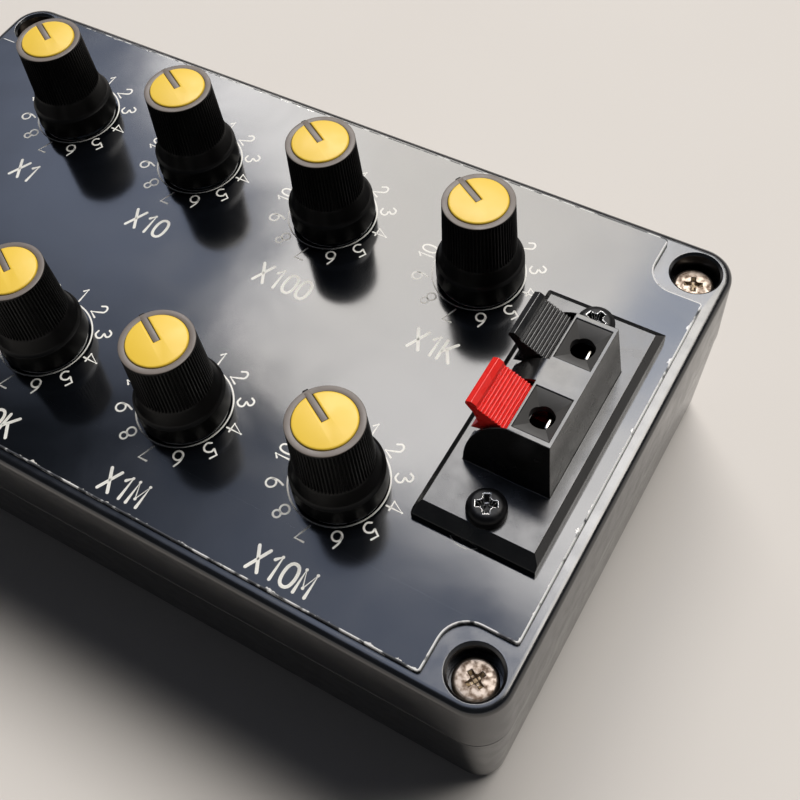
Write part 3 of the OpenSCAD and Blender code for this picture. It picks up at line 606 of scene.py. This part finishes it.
lid = add_piece("lid_moulding", merged_copy("lid"), [case_abs], "case", ["lid"],
                edge=CASE_EDGE)
print("case", [len(shell.data.polygons) for shell in (lid, base)], "faces, seam at", SEAM_Z, "mm")

# %% [markdown]
# ## Panel
# A thin sheet with holes is quickest as a flat curve: Blender fills the outline, leaves the holes open,
# gives it a thickness and bevels its rim. The outline is one quarter, mirrored to all four corners. There
# is a round hole for each dial, and under the terminal one for its tags and two for its screws. The rim
# and the walls of the holes get the white core, and the top keeps the black skin. The cutter has bared a
# narrow line of the core along the rim too: an inset of the top face gives that line its own faces.

# %% Panel sheet
NOTCH = (12.6, 12.1)
NOTCH_R = 4.5
CORNER_R = 0.6
HOLE_R = 6.75
TAG_OPENING = ((64.25, -9.7), (73.25, 10.3))
SCREW_HOLE_R = 1.65
TERMINAL_HEAD_R = 3.1
RIM = 0.1
CUT_LINE = 0.16
FACING_UP = 0.95

dials = {j["name"][5:]: Vector(j["pos_m"]) / MM for j in frame["joints"] if j["name"].startswith("turn_")}
half_l, half_w = panel_high.x / MM, panel_high.y / MM
notch_x, notch_y = lid_high.x / MM - NOTCH[0], lid_high.y / MM - NOTCH[1]
plate_low, plate_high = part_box("terminal_screws")
plate_x = (plate_low.x + plate_high.x) / 2 / MM
plate_screws = [(plate_x, plate_low.y / MM + TERMINAL_HEAD_R),
                (plate_x, plate_high.y / MM - TERMINAL_HEAD_R)]

quarter = arc((half_l - CORNER_R, notch_y - CORNER_R), CORNER_R, 0, 90, 4)
quarter += arc((notch_x + NOTCH_R, notch_y + NOTCH_R), NOTCH_R, 270, 180, 10)
quarter += arc((notch_x - CORNER_R, half_w - CORNER_R), CORNER_R, 0, 90, 4)
outline = []
for sx, sy in ((1, 1), (-1, 1), (-1, -1), (1, -1)):
    corner = [(sx * x, sy * y) for x, y in quarter]
    outline += corner if sx * sy > 0 else corner[::-1]
holes = [arc((d.x, d.y), HOLE_R, 360, 0, 64)[:-1] for d in dials.values()]
holes += [arc(middle, SCREW_HOLE_R, 360, 0, 24)[:-1] for middle in plate_screws]
(left, near), (right, far) = TAG_OPENING
holes.append([(left, near), (left, far), (right, far), (right, near)])
sheet_t = (panel_high.z - panel_low.z) / MM
sheet = curve_mesh([("POLY", path, True) for path in [outline] + holes], dimensions="2D", fill_mode="BOTH",
                   extrude=(sheet_t / 2 - RIM) * MM, bevel_depth=RIM * MM, bevel_resolution=0,
                   offset=-RIM * MM)
sheet.transform(Matrix.Translation((0, 0, (panel_low.z + panel_high.z) / 2)))
edit = bmesh.new()
edit.from_mesh(sheet)
bmesh.ops.remove_doubles(edit, verts=edit.verts, dist=WELD)
bmesh.ops.dissolve_degenerate(edit, dist=WELD, edges=edit.edges)
bmesh.ops.recalc_face_normals(edit, faces=edit.faces)
top_level = panel_high.z - 0.01 * MM
skin_faces = [face for face in edit.faces if min(v.co.z for v in face.verts) > top_level]
cut_line = bmesh.ops.inset_region(edit, faces=skin_faces, thickness=CUT_LINE * MM, use_even_offset=True)
for face in edit.faces:
    face.material_index = 0 if face.normal.z > FACING_UP else 1
for face in cut_line["faces"]:
    face.material_index = 1
panel = add_piece("panel_sheet", edit, [panel_skin, panel_core], "case", ["front_panel"])
print("panel", len(panel.data.polygons), "faces", [round(d / MM, 1) for d in panel.dimensions])

# %% [markdown]
# ## Engraving
# The numbers were cut by an engraving machine that follows one line per stroke. A text object would give
# filled outline letters, so each sign is drawn here as its strokes: straight lines, or smooth curves
# through a few points, in a box one unit high. A round bevel along the curve gives the stroke its width,
# and flattening it leaves a thin white line, one or two hundredths of a millimetre above the black skin.

# %% Stroke alphabet
SIGNS = {
    "0": [("loop", [(0.27, 1), (0.54, 0.5), (0.27, 0), (0, 0.5)])],
    "1": [("line", [(0.12, 0.78), (0.34, 1), (0.34, 0)])],
    "2": [("curve", [(0.02, 0.74), (0.29, 1), (0.55, 0.74), (0.36, 0.4)]),
          ("line", [(0.36, 0.4), (0, 0), (0.58, 0)])],
    "3": [("curve", [(0.03, 0.86), (0.3, 1), (0.53, 0.77), (0.25, 0.54)]),
          ("curve", [(0.25, 0.54), (0.57, 0.28), (0.28, 0), (0, 0.15)])],
    "4": [("line", [(0.42, 0), (0.42, 1), (0, 0.27), (0.6, 0.27)])],
    "5": [("line", [(0.53, 1), (0.1, 1), (0.05, 0.55)]),
          ("curve", [(0.05, 0.55), (0.3, 0.63), (0.57, 0.31), (0.27, 0), (0, 0.12)])],
    "6": [("curve", [(0.48, 1), (0.14, 0.66), (0, 0.3)]),
          ("loop", [(0.29, 0.6), (0.58, 0.3), (0.29, 0), (0, 0.3)])],
    "7": [("line", [(0, 1), (0.57, 1), (0.2, 0)])],
    "8": [("loop", [(0.29, 1), (0.52, 0.78), (0.29, 0.56), (0.06, 0.78)]),
          ("loop", [(0.29, 0.56), (0.58, 0.28), (0.29, 0), (0, 0.28)])],
    "9": [("loop", [(0.29, 1), (0.58, 0.7), (0.29, 0.4), (0, 0.7)]),
          ("curve", [(0.58, 0.7), (0.44, 0.34), (0.1, 0)])],
    "X": [("line", [(0, 0), (0.52, 1)]), ("line", [(0, 1), (0.52, 0)])],
    "K": [("line", [(0, 0), (0, 1)]), ("line", [(0.5, 1), (0, 0.4)]), ("line", [(0.17, 0.6), (0.54, 0)])],
    "M": [("line", [(0, 0), (0, 1), (0.25, 0.3), (0.5, 1), (0.5, 0)])],
}
FLATNESS = 0.07


def engraved(text, height, stroke, advance):
    """The strokes of a text as a mesh centred on the origin; sizes in mm."""
    splines, ends = [], []
    for i, sign in enumerate(text):
        strokes = SIGNS[sign]
        reach = [p[0] for _, points in strokes for p in points]
        shift = (i - (len(text) - 1) / 2) * advance - (min(reach) + max(reach)) / 2 * height
        for kind, points in strokes:
            path = [(px * height + shift, (py - 0.5) * height) for px, py in points]
            splines.append(("POLY" if kind == "line" else "BEZIER", path, kind == "loop"))
            if kind == "line":
                ends += path
            elif kind == "curve":
                ends += [path[0], path[-1]]
    mesh = curve_mesh(splines, dimensions="3D", resolution_u=6, bevel_depth=stroke / 2 * MM,
                      bevel_resolution=1)
    edit = bmesh.new()
    edit.from_mesh(mesh)
    for end in ends:
        bmesh.ops.create_uvsphere(edit, u_segments=8, v_segments=4, radius=stroke / 2 * MM,
                                  matrix=Matrix.Translation((end[0] * MM, end[1] * MM, 0)))
    bmesh.ops.scale(edit, verts=edit.verts, vec=(1, 1, FLATNESS))
    edit.to_mesh(mesh)
    edit.free()
    return mesh


print(len(SIGNS), "signs")

# %% [markdown]
# Each dial has the numbers 0 to 10 on a circle and its factor below. The circle was engraved a little off
# the dial's centre. A fine ring is scored round it, on the same centre as the numbers, and a smaller one
# marks the terminal's screw: only an arc of it peeks out from under the plate.

# %% Numbers, rings and factors
DIGIT_RING = 9.94
DIGIT_RING_OFFSET = (-0.48, 0.26)
DIGIT_H, DIGIT_STROKE, DIGIT_ADVANCE = 2.7, 0.33, 1.75
FIRST_DIGIT_ANGLE, STEP_ANGLE = 120, 30
SCORED_RING_R, SCORED_RING_W = 7.95, 0.26
PLATE_MARK, PLATE_MARK_SCALE = (62.5, -20.3), 0.43
LEGEND_H, LEGEND_STROKE, LEGEND_ADVANCE = 3.9, 0.55, 2.78
LEGEND_BELOW = 16.45

edit = bmesh.new()
numbers = [engraved(str(k), DIGIT_H, DIGIT_STROKE, DIGIT_ADVANCE) for k in range(11)]
scored = curve_mesh([("POLY", arc((0, 0), SCORED_RING_R, 0, 360, 72)[:-1], True)], dimensions="3D",
                    bevel_depth=SCORED_RING_W / 2 * MM, bevel_resolution=1)
scored.transform(Matrix.Diagonal((1, 1, FLATNESS, 1)))
for name, dial in dials.items():
    centre = Vector((dial.x + DIGIT_RING_OFFSET[0], dial.y + DIGIT_RING_OFFSET[1], panel_high.z / MM))
    ring = scored.copy()
    ring.transform(Matrix.Translation(centre * MM))
    edit.from_mesh(ring)
    for k, number in enumerate(numbers):
        angle = FIRST_DIGIT_ANGLE - STEP_ANGLE * k
        outward = Vector((math.cos(math.radians(angle)), math.sin(math.radians(angle)), 0))
        turned = number.copy()
        turned.transform(Matrix.Translation((centre + outward * DIGIT_RING) * MM)
                         @ Matrix.Rotation(math.radians(angle - 90), 4, "Z"))
        edit.from_mesh(turned)
    legend = engraved(name.upper(), LEGEND_H, LEGEND_STROKE, LEGEND_ADVANCE)
    legend.transform(Matrix.Translation(Vector((dial.x, dial.y - LEGEND_BELOW, panel_high.z / MM)) * MM))
    edit.from_mesh(legend)
scored.transform(Matrix.Translation((PLATE_MARK[0] * MM, PLATE_MARK[1] * MM, panel_high.z))
                 @ Matrix.Diagonal((PLATE_MARK_SCALE, PLATE_MARK_SCALE, 1, 1)))
edit.from_mesh(scored)
bmesh.ops.recalc_face_normals(edit, faces=edit.faces)
print_piece = add_piece("dial_print", edit, [engraved_core], "case")
print("engraving", len(print_piece.data.polygons), "faces")

# %% [markdown]
# ## Knobs
# A knob is a turned shape with ribs: a flange at the foot, a smooth skirt that draws in, a ribbed grip
# with a slight taper and a plain rim. Spinning the profile gives all of that but the ribs.
# Cutting the grooves would need a Boolean for each one. Thin bars that are half sunk into the grip look
# the same and cost a few faces each. A ridge down the grip and a bar across the cap's recess form the
# pointer. The faces on top, which fingers rub, take a second, greyer finish, which is also a painted sheen:
# they are made lighter because the window lights them from above.

# %% Knob
KNOB_H = 17.0
BORE_R, BORE_TOP = 3.05, 12
HOLLOW_R, HOLLOW_TOP = 6.7, 1.5
FLANGE_R, FLANGE_H = 7.5, 4.0
SKIRT_FOOT_R, SKIRT_TOP_Z = 6.95, 6.8
GRIP_FOOT_R, GRIP_TOP_R = 6.2, 5.85
RIB_COUNT, RIB_R, RIB_DEPTH = 68, 0.2, 0.26
RECESS_R, RECESS_Z = 4.85, 16.35
POINTER_W, RIDGE_R = 0.95, 6.3
RIM_BAND, RIM_R, RECESS_EDGE_R = 0.4, 0.12, 0.08
REST_ANGLE = 150


def knob_profile():
    """The knob's turned outline as (radius, height), from its bore round to the cap's recess."""
    root_foot, root_top = GRIP_FOOT_R - RIB_DEPTH, GRIP_TOP_R - RIB_DEPTH
    profile = [(0, BORE_TOP), (BORE_R, BORE_TOP), (BORE_R, HOLLOW_TOP), (HOLLOW_R, HOLLOW_TOP)]
    profile += [(HOLLOW_R, 0), (FLANGE_R - 0.1, 0), (FLANGE_R, 0.1)]
    profile += arc((FLANGE_R - 0.22, FLANGE_H - 0.45), 0.12, 0, 60, 3)
    profile += [(SKIRT_FOOT_R, FLANGE_H), (SKIRT_FOOT_R - 0.06, FLANGE_H + 0.2)]
    profile += [(GRIP_FOOT_R + 0.1, SKIRT_TOP_Z - 0.4), (GRIP_FOOT_R, SKIRT_TOP_Z - 0.1)]
    profile += [(root_foot, SKIRT_TOP_Z + 0.3), (root_top, KNOB_H - RIM_BAND - 0.1)]
    profile += [(GRIP_TOP_R, KNOB_H - RIM_BAND)]
    profile += arc((GRIP_TOP_R - RIM_R, KNOB_H - RIM_R), RIM_R, 0, 90, 3)
    profile += arc((RECESS_R + RECESS_EDGE_R, KNOB_H - RECESS_EDGE_R), RECESS_EDGE_R, 90, 180, 2)
    return profile + [(RECESS_R, RECESS_Z), (0, RECESS_Z)]


def knob():
    """The knob without its cap, standing on z = 0 with its pointer along +X."""
    edit = spun(knob_profile(), 2 * RIB_COUNT)
    grip = KNOB_H - RIM_BAND - SKIRT_TOP_Z + 0.5
    lean = math.atan((GRIP_FOOT_R - GRIP_TOP_R) / (KNOB_H - SKIRT_TOP_Z))
    middle_r = (GRIP_FOOT_R + GRIP_TOP_R) / 2 - RIB_R
    for k in range(RIB_COUNT):
        turn = Matrix.Rotation(2 * math.pi * (k + 0.5) / RIB_COUNT, 4, "Z")
        stand = Matrix.Translation(Vector((middle_r, 0, SKIRT_TOP_Z - 0.4 + grip / 2)) * MM)
        bmesh.ops.create_cone(edit, cap_ends=True, segments=8, radius1=RIB_R * MM, radius2=RIB_R * MM,
                              depth=grip * MM, matrix=turn @ stand @ Matrix.Rotation(-lean, 4, "Y"))
    half = POINTER_W / 2
    rounded_bar(edit, (GRIP_TOP_R - 0.9, -half, SKIRT_TOP_Z), (RIDGE_R, half, KNOB_H - 0.3), 0.15)
    rounded_bar(edit, (0, -half, RECESS_Z - 0.2), (GRIP_TOP_R - 0.3, half, KNOB_H + 0.03), 0.06)
    edit.normal_update()
    # Faces that look up take the second finish: rubbed nylon, painted lighter as the sheen of light from above
    for face in edit.faces:
        on_top = face.normal.z > 0.7 and face.calc_center_median().z > (KNOB_H - 0.2) * MM
        face.material_index = 1 if on_top else 0
    return edit


def at_dial(dial, z):
    """The place of a knob or cap on a dial's axis, turned to the rest position."""
    return (Matrix.Translation(Vector((dial.x, dial.y, z)) * MM)
            @ Matrix.Rotation(math.radians(REST_ANGLE), 4, "Z"))


knob_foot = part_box("knob_x1")[0].z / MM
for name, dial in dials.items():
    edit = knob()
    edit.transform(at_dial(dial, knob_foot))
    grip = add_piece("grip_" + name, edit, [knob_nylon, rubbed_and_painted_sheen_nylon], "dial_" + name,
                     ["knob_" + name])
print("knob", len(grip.data.polygons), "faces each")

# %% [markdown]
# ## Caps
# The yellow cap is a small disc with a slot for the pointer bar, so it is a flat curve, like the panel:
# an arc that runs round from one side of the slot to the other, then into the slot and back. Its bevel
# gives the soft rim.

# %% Caps
CAP_R, CAP_T, CAP_EDGE, FIT_GAP = 4.8, 0.9, 0.3, 0.06

slot_half = POINTER_W / 2 + FIT_GAP
slot_angle = math.degrees(math.asin(slot_half / CAP_R))
cap_outline = arc((0, 0), CAP_R, slot_angle, 360 - slot_angle, 72)
cap_outline += [(-FIT_GAP, -slot_half), (-FIT_GAP, slot_half)]
cap_mesh = curve_mesh([("POLY", cap_outline, True)], dimensions="2D", fill_mode="BOTH", bevel_resolution=2,
                      extrude=(CAP_T / 2 - CAP_EDGE) * MM, bevel_depth=CAP_EDGE * MM, offset=-CAP_EDGE * MM)
cap_low, cap_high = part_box("knob_cap_x1")
cap_z = (cap_low.z + cap_high.z) / 2 / MM
for name, dial in dials.items():
    edit = bmesh.new()
    edit.from_mesh(cap_mesh)
    weld(edit)
    edit.transform(at_dial(dial, cap_z))
    cap = add_piece("yellow_cap_" + name, edit, [cap_abs], "dial_" + name,
                    ["knob_cap_" + name])
print("cap", len(cap.data.polygons), "faces each", [round(d / MM, 2) for d in cap.dimensions])

# %% [markdown]
# ## Spring terminal
# The housing is one moulding: a base plate with bevelled sides, a block with two wire funnels, and a bay
# for each lever. Its CAD shape carries all of that, so a merged copy with soft edges is enough.
# The funnels of the real moulding are shallower than the recesses that the CAD leaves for them. A liner
# in each recess has the four facets: a block, less a cube that narrows downwards, less a drill for the
# wire.

# %% Housing and funnels
HOUSING_EDGE = 0.1
FUNNEL_TOP, FUNNEL_FOOT, FUNNEL_DEPTH = (6.1, 8.1), (2.4, 2.9), 1.4
LINER_HALF, LINER_FOOT_Z = (3.2, 4.2), 53.4
WIRE_R, DRILL_L = 1.9, 20

mounts = frame["record"]["mounts"]
wire_mounts = [Vector(m["pos_m"]) / MM for m in mounts if m["name"].startswith("wire_entry")]
top_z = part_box("terminal_housing")[1].z / MM


def funnel(middle):
    """A block that lines the recess, with four facets that run down into the round wire hole."""
    block = bmesh.new()
    half_x, half_y = LINER_HALF
    rounded_bar(block, (-half_x, -half_y, LINER_FOOT_Z), (half_x, half_y, top_z - 0.01), 0.0)
    facets = bmesh.new()
    made = bmesh.ops.create_cube(facets, size=1)
    bmesh.ops.scale(facets, verts=facets.verts, vec=Vector((*FUNNEL_TOP, FUNNEL_DEPTH)) * MM)
    foot = [v for v in made["verts"] if v.co.z < 0]
    narrowing = (FUNNEL_FOOT[0] / FUNNEL_TOP[0], FUNNEL_FOOT[1] / FUNNEL_TOP[1], 1)
    bmesh.ops.scale(facets, verts=foot, vec=narrowing)
    facets.transform(Matrix.Translation((0, 0, (top_z - FUNNEL_DEPTH / 2) * MM)))
    drill = bmesh.new()
    bmesh.ops.create_cone(drill, cap_ends=True, segments=48, radius1=WIRE_R * MM, radius2=WIRE_R * MM,
                          depth=DRILL_L * MM, matrix=Matrix.Translation((0, 0, top_z * MM)))
    lined = cut(cut(block, facets), drill)
    lined.transform(Matrix.Translation((middle.x * MM, middle.y * MM, 0)))
    for face in lined.faces:
        face.material_index = 0
    return lined


housing = add_piece("spring_terminal", merged_copy("terminal_housing"), [terminal_abs], "case",
                    ["terminal_housing"], edge=HOUSING_EDGE)
liners = joined([funnel(mount) for mount in wire_mounts])
add_piece("wire_funnels", liners, [funnel_abs], "case")
print("terminal", len(housing.data.polygons), "faces,", len(wire_mounts), "funnels")


# %% [markdown]
# ## Levers
# Each lever is a small moulding that turns in its bay, with finger grooves across its head. In the CAD
# shape the grooves are shallow and have flat floors. Drawing each floor in to a narrow line makes it a
# sharp valley, and the slopes beside it catch the light as fine ribs.

# %% Levers
LEVER_EDGE = 0.05
FLAT_AREA, GROOVE_STEP, DRAWN_IN = 4.0, 0.15, 0.8


def ribbed_lever(node):
    """The lever's CAD shape, with the flat floors of its finger grooves drawn in to sharp valleys."""
    edit = merged_copy(node)
    edit.normal_update()
    slanted = [f for f in edit.faces if f.normal.z > 0.8 and 0.1 < f.normal.x < 0.6]
    flats = [f for f in slanted if f.calc_area() < FLAT_AREA * MM * MM]
    outward = flats[0].normal.copy()
    along = outward.cross(Vector((0, 1, 0)))
    crest = max(f.calc_center_median().dot(outward) for f in flats)
    floors = [f for f in flats if f.calc_center_median().dot(outward) < crest - GROOVE_STEP * MM]
    for groove in floors:
        middle = groove.calc_center_median()
        for vert in groove.verts:
            pull = -DRAWN_IN * (vert.co - middle).dot(along) * along
            bmesh.ops.translate(edit, verts=[vert], vec=pull)
    print(node, len(flats), "flats,", len(floors), "grooves")
    return edit


for colour, material in (("red", lever_red), ("black", lever_black)):
    add_piece(colour + "_push_lever", ribbed_lever("lever_" + colour), [material], "push_" + colour,
              ["lever_" + colour], edge=LEVER_EDGE)

# %% [markdown]
# ## Contact springs
# Each contact is one strip of spring metal: a tag below, a straight blade beside the wire, and a bowed
# leaf that holds the lever up. Pressing the lever bends the leaf, while tag and blade stay where they
# are. The line from heel to blade top, below which the strip would stay with the case, is worked out, but
# the strip is not blended between case and lever here: it stays where it is and does not follow the lever.
# In each wire hole the upper end of the strip shows as a bright tongue.

# %% Contact springs
# Points of the strip seen from the side, as (x, z)
LEAF_HEEL = Vector((59.8, 42.2))
LEAF_END = Vector((60.0, 50.9))
BLADE_TOP = Vector((67.4, 51.0))
TONGUE_X, TONGUE_W, TONGUE_Z, TONGUE_R = (0.72, 1.15), 1.8, (50.6, 53.6), 0.15

tongues = bmesh.new()
for mount in wire_mounts:
    low = (mount.x + TONGUE_X[0], mount.y - TONGUE_W / 2, TONGUE_Z[0])
    high = (mount.x + TONGUE_X[1], mount.y + TONGUE_W / 2, TONGUE_Z[1])
    rounded_bar(tongues, low, high, TONGUE_R)
add_piece("contact_tongues", tongues, [spring_strip], "case")

across = (BLADE_TOP - LEAF_HEEL).orthogonal().normalized()
full_bend = LEAF_HEEL + (LEAF_END - LEAF_HEEL).dot(across) * across
bend_line = [Vector((point.x, 0, point.y)) * MM for point in (LEAF_HEEL, full_bend)]
for side in ("red", "black"):
    add_piece("contact_spring_" + side, merged_copy("contact_" + side), [spring_strip],
              ("case", "push_" + side, *bend_line), ["contact_" + side])
print("contact springs bend from", bend_line[0], "to", bend_line[1])


# %% [markdown]
# ## Screws
# A pan-head screw is a turned shape: a head with a rounded edge on a shank. The cross recess is cut with
# a Boolean by two tapered bars and a cone. The cut faces take the cutter's second material, which puts
# dirt into the recess of the lid screws, and the bevelled edges of the terminal's black screws take
# bright steel.

# %% Screws
LID_SCREW = dict(head_r=3.45, head_h=2.4, edge_r=0.7, shank_r=1.45, length=19, cross=4.4, arm=0.95,
                 deep=0.6)
TERMINAL_SCREW = dict(head_r=TERMINAL_HEAD_R, head_h=2.2, edge_r=1.3, shank_r=1.45, cross=4.6, arm=1.25,
                      deep=1.5)
LID_SCREW_INSET = 6
SCREW_EDGE = 0.1


def pan_screw(head_r, head_h, edge_r, shank_r, length, cross, arm, deep, turn):
    """A pan-head screw with a cross recess, the underside of its head on z = 0; sizes in mm."""
    profile = [(0, -length), (shank_r * 0.4, -length), (shank_r, -length + 2 * shank_r), (shank_r, 0)]
    profile += arc((head_r - 0.1, 0.1), 0.1, 270, 360, 3)
    profile += arc((head_r - edge_r, head_h - edge_r), edge_r, 0, 90, 8) + [(0, head_h)]
    edit = spun(profile, 48)
    for angle in (turn, turn + 90, None):
        cutter = bmesh.new()
        if angle is None:
            bmesh.ops.create_cone(cutter, cap_ends=True, segments=12, radius1=arm * 0.5 * MM,
                                  radius2=arm * 1.15 * MM, depth=2 * deep * MM)
        else:
            made = bmesh.ops.create_cube(cutter, size=1)
            bmesh.ops.scale(cutter, verts=cutter.verts, vec=Vector((cross, arm, 2 * deep)) * MM)
            low = [v for v in made["verts"] if v.co.z < 0]
            bmesh.ops.scale(cutter, verts=low, vec=(0.4, 0.6, 1))
            bmesh.ops.rotate(cutter, verts=cutter.verts,
                             matrix=Matrix.Rotation(math.radians(angle), 3, "Z"))
        cutter.transform(Matrix.Translation((0, 0, head_h * MM)))
        for face in cutter.faces:
            face.material_index = 1
        edit = cut(edit, cutter)
    return edit


def set_of_screws(node, places, shape, materials, edge_material):
    """Screws at several places as one piece, each cross turned as the screwdriver left it."""
    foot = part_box(node)[1].z / MM - shape["head_h"]
    screws = []
    for x, y, turn in places:
        screws.append(pan_screw(**shape, turn=turn))
        screws[-1].transform(Matrix.Translation(Vector((x, y, foot)) * MM))
    return add_piece(node + "_turned", joined(screws), materials, "case", [node], edge=SCREW_EDGE,
                     edge_material=edge_material)


x, y = lid_high.x / MM - LID_SCREW_INSET, lid_high.y / MM - LID_SCREW_INSET
lid_places = [(x, -y, 62), (x, y, 20), (-x, y, 75), (-x, -y, 38)]
lid_set = set_of_screws("lid_screws", lid_places, LID_SCREW, [worn_nickel, recess_dirt], 0)
TERMINAL_SCREW["length"] = (plate_high.z - plate_low.z) / MM - TERMINAL_SCREW["head_h"]
plate_places = [(*place, turn) for place, turn in zip(plate_screws, (25, 70))]
plate_set = set_of_screws("terminal_screws", plate_places, TERMINAL_SCREW,
                          [black_steel, black_steel, bared_steel], 2)
print("screws", len(lid_set.data.polygons), len(plate_set.data.polygons), "faces")
